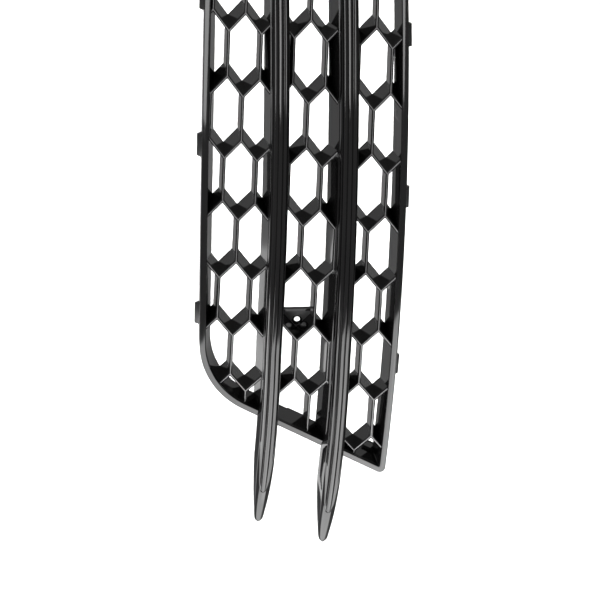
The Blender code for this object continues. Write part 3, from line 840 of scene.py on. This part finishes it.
@dataclass(frozen=True)
class Blade:
    """Hollow blade that stands on the frame's rim, and its ridged crown strip."""

    route: BladeRoute
    rim_proud: float = 3.0
    wall: float = 1.8
    shoulder: float = 0.72
    flat_top: float = 0.45
    boss_radius: float = 2.8
    boss_cover: float = 0.9
    boss_lift: float = 1.9
    boss_end: float = 1.1
    shank_radius: float = 1.6
    edge: float = 0.35
    ridge_edge: float = 0.3
    side_ridge: float = 1.1
    valley: float = 0.55
    middle_ridge: float = 2.1
    crown_edge: float = 0.4
    crown_short: float = 3.0
    nose_length: float = 70.0
    nose_curve: float = 9.0
    nose_fullness: float = 0.45
    nose_cut: Pair = (-90.0, 160.0)
    station_bias: float = 1.3
    groove_width: float = 0.6
    groove_depth: float = 0.9
    groove_nose: float = 1.3

    @property
    def foot(self) -> float:
        """Depth of the blade's foot, a gap above the rim."""
        return -self.rim_proud - GAP

    def _section(self, z: float) -> list[Pair]:
        """Outlines the hollow blade at one height."""
        route = self.route
        half, height, flare = route.half(z), route.height(z), route.foot_flare(z)
        inner = max(half - self.wall, 0.15 * half)
        roof = self.foot - height + min(self.wall, 0.5 * height)
        share = inner / half if half > 0.0 else 1.0
        crest = self.flat_top
        corners = [(-half - flare, self.foot),
                   (-half, self.foot - self.shoulder * height),
                   (-crest * half, self.foot - height), (crest * half, self.foot - height),
                   (half, self.foot - self.shoulder * height), (half + 0.3 * share, self.foot),
                   (inner, self.foot), (inner, roof + 0.2 * height * share),
                   (crest * inner, roof), (-crest * inner, roof),
                   (-inner, roof + 0.2 * height * share),
                   (-inner - 0.5 * flare * share, self.foot)]
        edge = self.edge
        return rounded(corners, [0.5 * edge, edge, edge, edge, edge, 0.5 * edge, 0, 0, 0, 0, 0, 0])

    def _crown_section(self, z: float) -> list[Pair]:
        """Outlines the crown strip: two side ridges and a taller middle one."""
        route, crest = self.route, self.flat_top
        half, height = route.half(z), route.height(z)
        top = self.foot - height - GAP
        drop = (1.0 - self.shoulder) * height
        under = [(crest, top), (0.86, top + 0.74 * drop)]
        over = [(0.92, top + 0.35 * drop), (0.68, top - self.side_ridge),
                (0.55, top - self.side_ridge), (0.34, top - self.valley),
                (0.20, top - self.middle_ridge)]
        right = [(share * half, depth) for share, depth in under + over]
        left = [(-side, depth) for side, depth in right[::-1]]
        corners = left[-2:] + right + left[:-2]
        return rounded(corners, [0.0] * 4 + [self.ridge_edge] * 10, 2)

    def _nose_line(self, count: int = 30) -> list[Pair]:
        """Lists (spread, height) points up one side of the crown's pointed U."""
        route, length, curve, points = self.route, self.nose_length, self.nose_curve, []
        for n in range(1, count + 1):
            run = length * (n / count) ** 2
            if run < curve:
                spread = 0.5 * (run / curve) ** self.nose_fullness
            else:
                spread = 0.5 + 0.75 * (run - curve) / (length - curve)
            points.append((route.half_width * spread, route.nose + run))
        return points

    def _groove(self) -> Shape:
        """Makes the narrow channel in the blade round the crown's lower end."""
        route, near = self.route, -0.05
        side = [(spread, z) for spread, z in self._nose_line() if spread < 0.9 * route.half(z)]
        path = [(-spread, z) for spread, z in side[::-1]] + [(0.0, route.nose)] + side
        spots = [Vector((route.centre(z) + spread, z)) for spread, z in path]
        loops = []
        for n, ((spread, z), spot) in enumerate(zip(path, spots)):
            along = (spots[min(n + 1, len(spots) - 1)] - spots[max(n - 1, 0)]).normalized()
            out = Vector((along.y, -along.x))
            wide = self.groove_width + self.groove_nose * max(0.0, -out.y)
            half, height = route.half(z), route.height(z)
            slope = max(0.0, abs(spread) / half - self.flat_top) / (1.0 - self.flat_top)
            floor = self.foot - height + (1.0 - self.shoulder) * height * slope + self.groove_depth
            loops.append([SURFACE.point(*(spot + out * offset), depth) for offset, depth in
                          ((near, floor - 8.0), (wide, floor - 8.0), (wide, floor), (near, floor))])
        return bridge(loops, False)

    def _crown_limit(self) -> Shape:
        """Makes the long pointed U that trims the strip's lower end."""
        route, length, line = self.route, self.nose_length, self._nose_line()
        right = [(route.centre(z) + spread, z) for spread, z in line]
        left = [(route.centre(z) - spread, z) for spread, z in line]
        wide, high = 2.0 * route.half_width, route.top - self.crown_short
        for z in (route.nose + length + 2.0, high):
            right.append((route.centre(z) + wide, z))
            left.append((route.centre(z) - wide, z))
        outline = [(route.centre(route.nose), route.nose)] + right + left[::-1]
        return bridge([[Vector((x, y, z)) * MM for x, z in outline]
                       for y in self.nose_cut], False)

    def build_body(self) -> bpy.types.Object:
        """Builds the hollow blade with its screw bosses."""
        route = self.route
        shape = route.along(route.tip + 0.15, route.top - 0.1, self._section,
                            bias=self.station_bias)
        piece = make_object(f"blade_shell_{route.name}", shape)
        roof, low = self.foot - route.full_height + self.boss_cover, self.foot - self.boss_lift
        bosses = pooled(cylinder(x, z, base, self.boss_radius, roof, low)
                        for x, z, base in route.seats())
        holes = pooled(cylinder(x, z, base, self.shank_radius + GAP, roof + self.boss_end,
                                low + 1.5)
                       for x, z, base in route.seats())
        shape_with(piece, [(bosses, Join.ADD), (holes, Join.CUT), (self._groove(), Join.CUT)])
        return piece

    def build_crown(self) -> bpy.types.Object:
        """Builds the crown strip with its U-shaped lower end."""
        route = self.route
        shape = route.along(route.nose - 4.0, route.top - self.crown_short / 2.0,
                            self._crown_section, bias=self.station_bias)
        piece = make_object(f"crown_strip_{route.name}", shape)
        shape_with(piece, [(self._crown_limit(), Join.KEEP)])
        return piece

    def finish(self) -> None:
        """Builds, dresses and mounts the blade and its crown."""
        name = self.route.name
        body = self.build_body()
        dress(body, GLOSS, REAR)
        mount(body, MAIN_BODY, f"blade_{name}")
        crown = self.build_crown()
        soften(crown, self.crown_edge, 50.0, 1)
        dress(crown, GLOSS, REAR, 22.0)
        mount(crown, MAIN_BODY, f"crown_{name}")


# --- surround frame ----------------------------------------------------------

TONGUE_SEATS = {f"tongue_{side.value}_{n + 1}": (side, z)
                for side, heights in ((Side.LEFT, (222.0, 125.0, 5.0)),
                                      (Side.RIGHT, (205.0, 95.0, -30.0)))
                for n, z in enumerate(heights)}
LEDGE_SEATS = ((Side.LEFT, 176.0), (Side.LEFT, 64.0), (Side.BOTTOM, 47.0),
               (Side.RIGHT, 30.0), (Side.RIGHT, 150.0), (Side.TOP, 10.0))


@dataclass(frozen=True)
class Tongue:
    """Sprung leaf with a ramped nose, standing in a window of the frame's wall."""

    half: float = 7.3
    root: float = 6.0
    end: float = 17.5
    nose: float = 3.0
    clearance: float = 0.6
    wall: float = 2.2
    edge: float = 0.3

    def finish(self, name: str, seat: Seat) -> None:
        """Builds, dresses and mounts one tongue.

        Args:
            name: Node and body of the tongue.
            seat: Its place on the flank.
        """
        profile = [(0.3, self.root), (0.3, 9.6), (0.5 - self.nose, 11.4), (-self.nose, 12.2),
                   (-self.nose, 13.8), (0.8 - self.nose, 14.9), (0.3, self.end),
                   (self.wall - 0.3, self.end), (self.wall - 0.3, self.root)]
        piece = make_object(f"snap_leaf{name.removeprefix('tongue')}",
                            seat.prism(profile, self.half, flat=False))
        soften(piece, self.edge, 15.0)
        dress(piece, SATIN)
        mount(piece, name, name)

    def window(self, seat: Seat) -> Shape:
        """Makes the body that cuts the tongue's window."""
        near, far = self.root - self.clearance, self.end + 2 * self.clearance
        profile = [(-2.0, near), (-2.0, far), (self.wall + 1.0, far), (self.wall + 1.0, near)]
        return seat.prism(profile, self.half + self.clearance, flat=False)


@dataclass(frozen=True)
class SurroundFrame:
    """Rim and deep wall round the honeycomb, with ledges behind it."""

    rim_proud: float = 3.0
    rim_width: float = 4.4
    rim_lip: float = 1.8
    rim_round: float = 0.6
    wall: float = 2.2
    depth: float = 21.0
    ledge_half: float = 4.5
    ledge_near: float = 23.0
    ledge_far: float = 25.0
    ledge_reach: float = 7.6
    screw_offset: float = 5.0
    boss_front: float = 14.0
    hole_radius: float = 1.4
    rear_tabs: tuple[tuple[float, float, float], ...] = ((-1.5, 6.2, 30.0), (-10.6, 3.2, 25.0))
    tongue: Tongue = field(default_factory=Tongue)

    def _ring(self) -> Shape:
        """Sweeps the rim and wall round the outline."""
        front, lip = -self.rim_proud, self.rim_lip - self.rim_proud
        corners = [(0.0, self.depth), (0.0, front), (self.rim_width, front),
                   (self.rim_width, lip), (self.wall, lip), (self.wall, self.depth)]
        soft = self.rim_round
        profile = rounded(corners, [0.3, soft, soft, 0.3, 0.0, 0.3], 4)
        return bridge([OUTLINE.swept(offset, offset, depth) for offset, depth in profile], True)

    def _rear_tab(self) -> list[Shape]:
        """Makes the stepped locating tab on the lower wall."""
        inner, tabs = self.wall - 0.1, []
        for x, half, depth in self.rear_tabs:
            profile = [(0.3, self.boss_front), (0.3, depth), (inner, depth),
                       (inner, self.boss_front)]
            tabs.append(Seat(Side.BOTTOM, x).prism(profile, half))
        return tabs

    def finish(self) -> None:
        """Builds, dresses and mounts the frame."""
        piece = make_object("frame_moulding", self._ring())
        seats = [Seat(*seat) for seat in LEDGE_SEATS]
        inner = self.wall - 0.2
        ledge = [(0.3, self.boss_front), (0.3, self.ledge_far), (self.ledge_reach, self.ledge_far),
                 (self.ledge_reach, self.ledge_near), (inner, self.ledge_near),
                 (inner, self.boss_front)]
        steps = [(seat.prism(ledge, self.ledge_half), Join.ADD) for seat in seats]
        steps += [(tab, Join.ADD) for tab in self._rear_tab()]
        steps += [(self.tongue.window(Seat(*seat)), Join.CUT) for seat in TONGUE_SEATS.values()]
        for seat in seats:
            spot = seat.origin + seat.normal * self.screw_offset
            hole = cylinder(spot.x, spot.y, SURFACE.y(*seat.origin), self.hole_radius,
                            self.ledge_near - 1.0, self.ledge_far + 1.0, 24)
            steps.append((hole, Join.CUT))
        shape_with(piece, steps)
        dress(piece, GLOSS, REAR)
        mount(piece, MAIN_BODY, "surround_frame")
        for name, seat in TONGUE_SEATS.items():
            self.tongue.finish(name, Seat(*seat))


# --- honeycomb moulding ------------------------------------------------------

@dataclass(frozen=True)
class Honeycomb:
    """Ribs, border band, hollow spines and screw plate as one moulding."""

    pitch: float = 22.5
    row_pitch: float = 42.3
    rise: float = 12.6
    turn: float = radians(-3.2)
    origin: Pair = (-45.3, 206.2)
    columns: int = 9
    rows: int = 12
    first_row: int = -3
    first_column: int = -4
    rib_front: float = 2.3
    rib_back: float = 4.2
    crest: float = 0.38
    crest_flat: float = 0.24
    crest_edge: float = 0.12
    depth: float = 20.0
    rim_width: float = 4.4
    rim_proud: float = 3.0
    band: float = 1.8
    band_offset: float = 2.8
    band_front: float = -0.9
    band_depth: float = 20.3
    draft_side: float = 4.0
    draft_end: float = 1.0
    front_share: float = 0.2
    spine_wall: float = 2.2
    spine_floor: float = 3.0
    spine_overrun: float = 22.0
    spine_step: float = 6.0
    pocket_short: float = 16.0
    pad_radius: float = 4.4
    shank_hole: float = 1.9
    plate_thickness: float = 2.4
    plate_top: float = 9.2
    plate_hole: float = 2.1
    plate_sink: float = 3.5
    sink_depth: float = 0.9
    plate_cell: Pair = (5.0, 4.0)
    lip_height: float = 1.4
    lip_proud: float = 1.6
    lip_share: float = 0.62

    def _corners(self, column: float = 0.0, row: float = 0.0) -> list[Vector]:
        """Lists the corners of one cell on the unturned lattice, top first."""
        u, v, half = column * self.pitch / 2.0, -self.row_pitch * row, self.pitch / 2.0
        low = -self.row_pitch
        return [Vector(p) + Vector((u, v)) for p in
                ((0.0, self.rise), (-half, 0.0), (-half, low + self.rise),
                 (0.0, low), (half, low + self.rise), (half, 0.0))]

    def _laid(self, point: Vector) -> Vector:
        """Turns a point of the lattice into its place on the grille."""
        c, s = cos(self.turn), sin(self.turn)
        return Vector((self.origin[0] + c * point.x - s * point.y,
                       self.origin[1] + s * point.x + c * point.y))

    def _cell(self, slices: int = 4) -> Shape:
        """Makes the collar of one cell: crest, drafted walls and back edge."""
        corners = self._corners()
        front, back = self.rib_front / 2.0, self.rib_back / 2.0
        flat, crest, edge = self.crest_flat, self.crest, self.crest_edge
        levels = [(0.0, 0.0), (flat, 0.0), (flat + edge, 0.5 * edge), (front - edge, crest),
                  (front, crest + 0.15), (back, self.depth), (0.0, self.depth)]
        loops = []
        for inset, depth in levels:
            ring = inset_polygon(corners, [inset] * 6)
            loop = []
            for n, point in enumerate(ring):
                following = ring[(n + 1) % 6]
                loop += [point.lerp(following, m / slices) for m in range(slices)]
            loops.append([Vector((p.x, depth, p.y)) * MM for p in loop])
        verts, faces = bridge(loops, True)
        size = len(loops[0])
        return verts, faces[:-size]

    def _lattice(self) -> bpy.types.Object:
        """Lays the cell out over the grille and closes its outer edge."""
        piece = make_object("honeycomb_moulding", self._cell())
        first = Vector((self.first_column * self.pitch / 2.0, 0.0,
                        -self.row_pitch * self.first_row)) * MM
        honeycomb_tree().run_on(piece, {
            "Columns": self.columns, "Rows": self.rows, "Cell Pitch": self.pitch * MM,
            "Row Pitch": self.row_pitch * MM, "Turn": -self.turn, "First Cell": first,
            "Lattice Origin": Vector((self.origin[0], 0.0, self.origin[1])) * MM,
            "Setback": SURFACE.setback * MM, "Slope X": SURFACE.slope_x,
            "Slope Z": SURFACE.slope_z, "Twist": SURFACE.twist / MM, "Bow": SURFACE.bow / MM,
            "Weld": 0.02 * MM, "Material": GLOSS.build()})
        body = bmesh.new()
        body.from_mesh(piece.data)
        rim = [edge for edge in body.edges if len(edge.link_faces) == 1]
        bmesh.ops.bridge_loops(body, edges=rim)
        bmesh.ops.recalc_face_normals(body, faces=body.faces)
        body.to_mesh(piece.data)
        body.free()
        return piece

    def _limit(self) -> Shape:
        """Makes the solid that trims ribs and spines to the border band."""
        inner = self.rim_width + 0.4
        middle = self.band_offset + self.band / 2.0
        side, end = middle + self.draft_side, middle + self.draft_end

        def far(offset: Pair, y: float) -> Loop:
            return [Vector((x, y, z)) * MM for x, z in OUTLINE.at(*offset)]

        return bridge([far((inner, inner), -FAR_AWAY),
                       OUTLINE.swept(inner, inner, self.band_front - 0.3),
                       OUTLINE.swept(middle, middle, self.band_front + 0.5),
                       OUTLINE.swept(side, end, self.depth + 0.5),
                       far((side, end), FAR_AWAY)], False)

    def _band(self) -> Shape:
        """Sweeps the drafted border band round the outline."""
        outer, inner = self.band_offset, self.band_offset + self.band
        side, end = self.draft_side, self.draft_end
        profile = [(outer, outer, self.band_front), (inner - 0.5, inner - 0.5, self.band_front),
                   (inner, inner, self.band_front + 0.5),
                   (inner + side, inner + end, self.band_depth),
                   (outer + side, outer + end, self.band_depth)]
        return bridge([OUTLINE.swept(*point) for point in profile], True)

    def _spine(self, route: BladeRoute) -> Shape:
        """Makes the rail under one blade."""
        half, flare, back = route.half_width, route.flare, self.depth - 0.3
        section = [(-half - self.front_share * flare, -self.rim_proud), (-half - flare, back),
                   (half + 0.8, back), (half + 0.4, -self.rim_proud)]
        return route.along(route.pocket_low - self.spine_overrun, route.top + route.top_overrun,
                           lambda z: section, self.spine_step)

    def _pocket(self, route: BladeRoute) -> Shape:
        """Makes the hollow of the rail, open at the back."""
        wall, half, flare = self.spine_wall, route.half_width, route.flare
        floor, back = self.spine_floor - self.rim_proud, self.depth + 6.0
        section = [(wall - half - (self.front_share + 0.05) * flare, floor),
                   (wall - half - flare, back),
                   (half - wall + 0.4, back), (half - wall, floor)]
        return route.along(route.pocket_low, route.top - self.pocket_short, lambda z: section,
                           self.spine_step)

    def _plate(self) -> list[Shape]:
        """Makes the screw plate in the foot of one cell, and its upper lip."""
        corners = [self._laid(point) for point in self._corners(*self.plate_cell)]
        _, left_up, left_down, bottom, right_down, right_up = corners

        def cut(upper: Vector, lower: Vector) -> Vector:
            return upper.lerp(lower, (upper.y - self.plate_top) / (upper.y - lower.y))

        outline = [cut(left_up, left_down), left_down, bottom, right_down,
                   cut(right_up, right_down)]
        plate = bridge([[Vector((p.x, y, p.y)) * MM for p in outline]
                        for y in (0.0, self.plate_thickness)], False)
        low, high = self.plate_top - self.lip_height, self.plate_top + 0.2
        front, back = -self.lip_proud, self.plate_thickness - 0.4
        lip = bridge([[Vector((x, y, z)) * MM for y, z in
                       ((front, low), (front, high), (back, high), (back, low))]
                      for x in (left_up.lerp(left_down, self.lip_share).x,
                                right_up.lerp(right_down, self.lip_share).x)], False)
        return [plate, lip]

    def finish(self, frame: SurroundFrame) -> None:
        """Builds, dresses and mounts the moulding.

        Args:
            frame: The frame to whose ledges it is screwed.
        """
        piece, limit = self._lattice(), self._limit()
        seats = [Seat(*seat) for seat in LEDGE_SEATS]
        low, high = self.band_offset + 0.2, frame.ledge_reach - 0.2
        boss = [(low, frame.boss_front), (low, frame.ledge_near - GAP),
                (high, frame.ledge_near - GAP), (high, frame.boss_front)]
        steps = [(limit, Join.KEEP)]
        steps += [(carved(self._spine(route), [(limit, Join.KEEP)]), Join.ADD) for route in ROUTES]
        shape_with(piece, steps)
        shape_with(piece, [(self._pocket(route), Join.CUT) for route in ROUTES], thorough=True)
        steps = []
        for route in ROUTES:
            steps += [(cylinder(x, z, base, self.pad_radius, -1.5, self.spine_floor), Join.ADD)
                      for x, z, base in route.seats()]
            steps += [(cylinder(x, z, base, self.shank_hole, -6.0, 6.0, 24), Join.CUT)
                      for x, z, base in route.seats()]
        steps += [(shape, Join.ADD) for shape in self._plate()]
        steps += [(self._band(), Join.ADD)]
        steps += [(seat.prism(boss, frame.ledge_half - 0.6), Join.ADD) for seat in seats]
        for seat in seats:
            spot = seat.origin + seat.normal * frame.screw_offset
            steps.append((cylinder(spot.x, spot.y, SURFACE.y(*seat.origin), frame.hole_radius,
                                   frame.boss_front + 2.0, frame.ledge_near + 1.0, 24), Join.CUT))
        steps += [(cylinder(0.0, 0.0, 0.0, radius, -1.0, far, 48), Join.CUT)
                  for radius, far in ((self.plate_hole, 4.0), (self.plate_sink, self.sink_depth))]
        shape_with(piece, steps)
        dress(piece, GLOSS, REAR)
        # Painted highlight along the rib crests.
        self._paint_crest_highlights(piece)
        # Painted sheen on the screw plate's face.
        self._paint_plate_sheen(piece)
        mount(piece, MAIN_BODY, "honeycomb_insert")

    def _paint_plate_sheen(self, piece: bpy.types.Object) -> None:
        """Gives the screw plate's front a rougher finish whose lighter grey is painted sheen, and
        shades it flat.
        """
        data = piece.data
        data.materials.append(PLATE_SHEEN.build())
        for face in data.polygons:
            if face.normal.y < -0.95 and abs(face.center.y) < 0.2 * MM:
                face.use_smooth = False
                face.material_index = len(data.materials) - 1

    def _paint_crest_highlights(self, piece: bpy.types.Object) -> None:
        """Paints a highlight on the narrow flat edges on the ribs' fronts: a duller finish whose
        light grey stands in for the light caught along each crest.
        """
        data = piece.data
        data.materials.append(CREST_HIGHLIGHT.build())
        for face in data.polygons:
            x, y, z = face.center / MM
            if face.normal.y < -0.8 and abs(y - SURFACE.y(x, z)) < 0.5 * GAP * self.crest_flat:
                face.material_index = len(data.materials) - 1


# --- screws ------------------------------------------------------------------

@dataclass(frozen=True)
class ScrewSet:
    """Pan-head screws with a cross recess, all of one size."""

    name: str
    head: float
    height: float
    shank: float
    length: float
    nodes: tuple[str, ...]
    sides: int = 40

    def _pattern(self) -> bpy.types.Object:
        """Builds one screw along Y with its bearing face at the origin."""
        dome = [(self.head * sin(a), self.height * (0.45 + 0.55 * cos(a)))
                for a in (radians(d) for d in (8, 24, 40, 56, 70, 82, 90))]
        profile = dome + [(self.head, 0.0), (self.shank * 1.25, 0.0)]
        pitch, count = 0.9, max(3, round((self.length - 2.0) / 0.9))
        for n in range(count):
            profile += [(self.shank, -0.2 - n * pitch), (0.72 * self.shank, -0.65 - n * pitch)]
        profile += [(0.3 * self.shank, -self.length)]
        turns = [2 * pi * n / self.sides for n in range(self.sides)]
        loops = [[Vector((r * cos(a), y, r * sin(a))) * MM for a in turns] for r, y in profile]
        piece = make_object(f"{self.name}_pattern", bridge(loops, False))
        wing, arm, deep = 0.16 * self.head, 0.62 * self.head, 0.45 * self.height
        slots = []
        for a, b in ((wing, arm), (arm, wing)):
            loop = [(-a, -b), (a, -b), (a, b), (-a, b)]
            slots.append(bridge([[Vector((x * k, y, z * k)) * MM for x, z in loop]
                                 for y, k in ((deep, 0.7), (self.height + 1.0, 1.15))], False))
        shape_with(piece, [(slot, Join.CUT) for slot in slots])
        return piece

    def finish(self, tree: TreeMaker, seats: Sequence[Vector], seed: int) -> None:
        """Places, dresses and mounts the screws.

        Args:
            tree: Tree that puts the pattern on points.
            seats: Bearing points of the heads, in metres.
            seed: Seed for how each recess is turned.
        """
        pattern = self._pattern()
        piece = make_object(self.name, (list(seats), []))
        tree.run_on(piece, {"Part": pattern, "Most Turn": pi / 2.0, "Seed": seed,
                            "Material": ZINC.build()})
        bpy.data.objects.remove(pattern)
        dress(piece, ZINC)
        mount(piece, MAIN_BODY, *self.nodes)


def finish_screws(frame: SurroundFrame, comb: Honeycomb) -> None:
    """Builds both sets of screws.

    Args:
        frame: Frame whose ledges take the small screws.
        comb: Honeycomb whose spines take the blade screws.
    """
    tree = scatter_tree()
    spots = [(route.name, n + 1, seat) for route in ROUTES for n, seat in enumerate(route.seats())]
    blade_set = ScrewSet("blade_screws", 3.4, 2.2, 1.5, 10.5,
                         tuple(f"blade_screw_{name}_{n}" for name, n, _ in spots))
    blade_set.finish(tree, [Vector((x, base + comb.spine_floor + GAP, z)) * MM
                            for _, _, (x, z, base) in spots], 3)
    points = []
    for side, value in LEDGE_SEATS:
        seat = Seat(side, value)
        spot = seat.origin + seat.normal * frame.screw_offset
        points.append(Vector((spot.x, SURFACE.y(*seat.origin) + frame.ledge_far + GAP,
                              spot.y)) * MM)
    insert_set = ScrewSet("insert_screws", 2.4, 1.9, 1.0, 8.0,
                          tuple(f"insert_screw_{n + 1}" for n in range(len(points))))
    insert_set.finish(tree, points, 7)


# --- studio ------------------------------------------------------------------

@dataclass(frozen=True)
class SoftBox:
    """One large soft light."""

    name: str
    place: tuple[float, float, float]
    aim: tuple[float, float, float]
    width: float
    height: float
    power: float
    spread: float = 180.0

    def build(self) -> None:
        """Hangs the light and turns it towards its aim."""
        data = bpy.data.lights.new(self.name, "AREA")
        data.shape = "RECTANGLE"
        data.size, data.size_y = self.width, self.height
        data.energy = self.power
        data.spread = radians(self.spread)
        lamp = bpy.data.objects.new(self.name, data)
        lamp.location = self.place
        turned = Vector(self.aim) - Vector(self.place)
        lamp.rotation_euler = turned.to_track_quat("-Z", "Y").to_euler()
        lamp.visible_camera = False
        bpy.context.scene.collection.objects.link(lamp)


@dataclass(frozen=True)
class Studio:
    """Pale floor, soft lights and the camera."""

    floor_z: float = -1.25
    floor_size: float = 16.0
    camera_place: tuple[float, float, float] = (-0.2339, -4.5024, 2.2144)
    camera_aim: tuple[float, float, float] = (0.0013, -0.01454, 0.0226)
    lens: float = 429.6
    surround: float = 0.30
    lights: tuple[SoftBox, ...] = (
        SoftBox("sweep_light", (0.14, 2.60, -0.45), (0.14, 2.65, -1.25), 0.75, 2.2, 11.5, 40.0),
        SoftBox("side_sweep_light", (-0.60, 1.62, -0.95), (-0.02, 0.0, 0.05), 0.30, 0.45, 0.3),
        SoftBox("left_light", (-1.12, 0.10, -0.65), (0.0, 0.0, 0.0), 0.5, 0.6, 5.0),
        SoftBox("low_front_light", (-0.312, -0.674, -0.811), (0.0, 0.0, 0.0), 1.0, 1.146, 19.8),
        SoftBox("centre_light", (0.125, -0.91, -0.72), (0.0, 0.0, 0.0), 0.40, 0.90, 1.8),
        SoftBox("high_front_light", (-0.76, -1.40, 0.70), (0.0, 0.0, 0.15), 0.7, 0.6, 7.5),
        SoftBox("right_light", (0.835, -0.70, -0.71), (0.0, 0.0, 0.0), 0.58, 0.4, 3.6),
    )

    def _floor(self) -> None:
        """Lays the floor."""
        half = self.floor_size / 2.0
        corners = [Vector((x, y, self.floor_z)) for x, y in
                   ((-half, -half), (half, -half), (half, half), (-half, half))]
        floor = make_object("studio_floor", (corners, [(0, 1, 2, 3)]))
        paint = bpy.data.materials.new("pale_floor")
        paint.use_nodes = True
        nodes, links = paint.node_tree.nodes, paint.node_tree.links
        shader = nodes["Principled BSDF"]
        shader.inputs["Roughness"].default_value = 0.9
        shader.inputs["Specular IOR Level"].default_value = 0.1
        speck = nodes.new("ShaderNodeTexNoise")
        speck.inputs["Scale"].default_value = 3.0
        shade = nodes.new("ShaderNodeMix")
        shade.data_type = "RGBA"
        shade.inputs["A"].default_value = (0.84, 0.84, 0.84, 1.0)
        shade.inputs["B"].default_value = (0.86, 0.86, 0.86, 1.0)
        place = nodes.new("ShaderNodeTexCoord")
        links.new(place.outputs["Object"], speck.inputs["Vector"])
        links.new(speck.outputs["Fac"], shade.inputs["Factor"])
        links.new(shade.outputs["Result"], shader.inputs["Base Color"])
        floor.data.materials.append(paint)

    def build(self) -> None:
        """Builds floor, surround, lights and camera."""
        scene = bpy.context.scene
        self._floor()
        world = bpy.data.worlds.new("studio")
        world.use_nodes = True
        sky = world.node_tree.nodes["Background"]
        sky.inputs["Color"].default_value = (1.0, 1.0, 1.0, 1.0)
        sky.inputs["Strength"].default_value = self.surround
        scene.world = world
        for light in self.lights:
            light.build()
        scene.view_settings.view_transform = "Standard"
        data = bpy.data.cameras.new("studio_camera")
        data.lens = self.lens
        camera = bpy.data.objects.new("studio_camera", data)
        camera.location = self.camera_place
        look = Vector(self.camera_aim) - Vector(self.camera_place)
        camera.rotation_euler = look.to_track_quat("-Z", "Y").to_euler()
        scene.collection.objects.link(camera)
        scene.camera = camera


def main() -> None:
    """Builds every piece of the grille in order, and then the studio."""
    logging.basicConfig(level=logging.INFO, format="%(name)s: %(message)s")
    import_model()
    frame, comb = SurroundFrame(), Honeycomb()
    frame.finish()
    comb.finish(frame)
    for route in ROUTES:
        Blade(route).finish()
    finish_screws(frame, comb)
    Studio().build()
    bpy.context.view_layer.update()


if __name__ == "__main__":
    main()
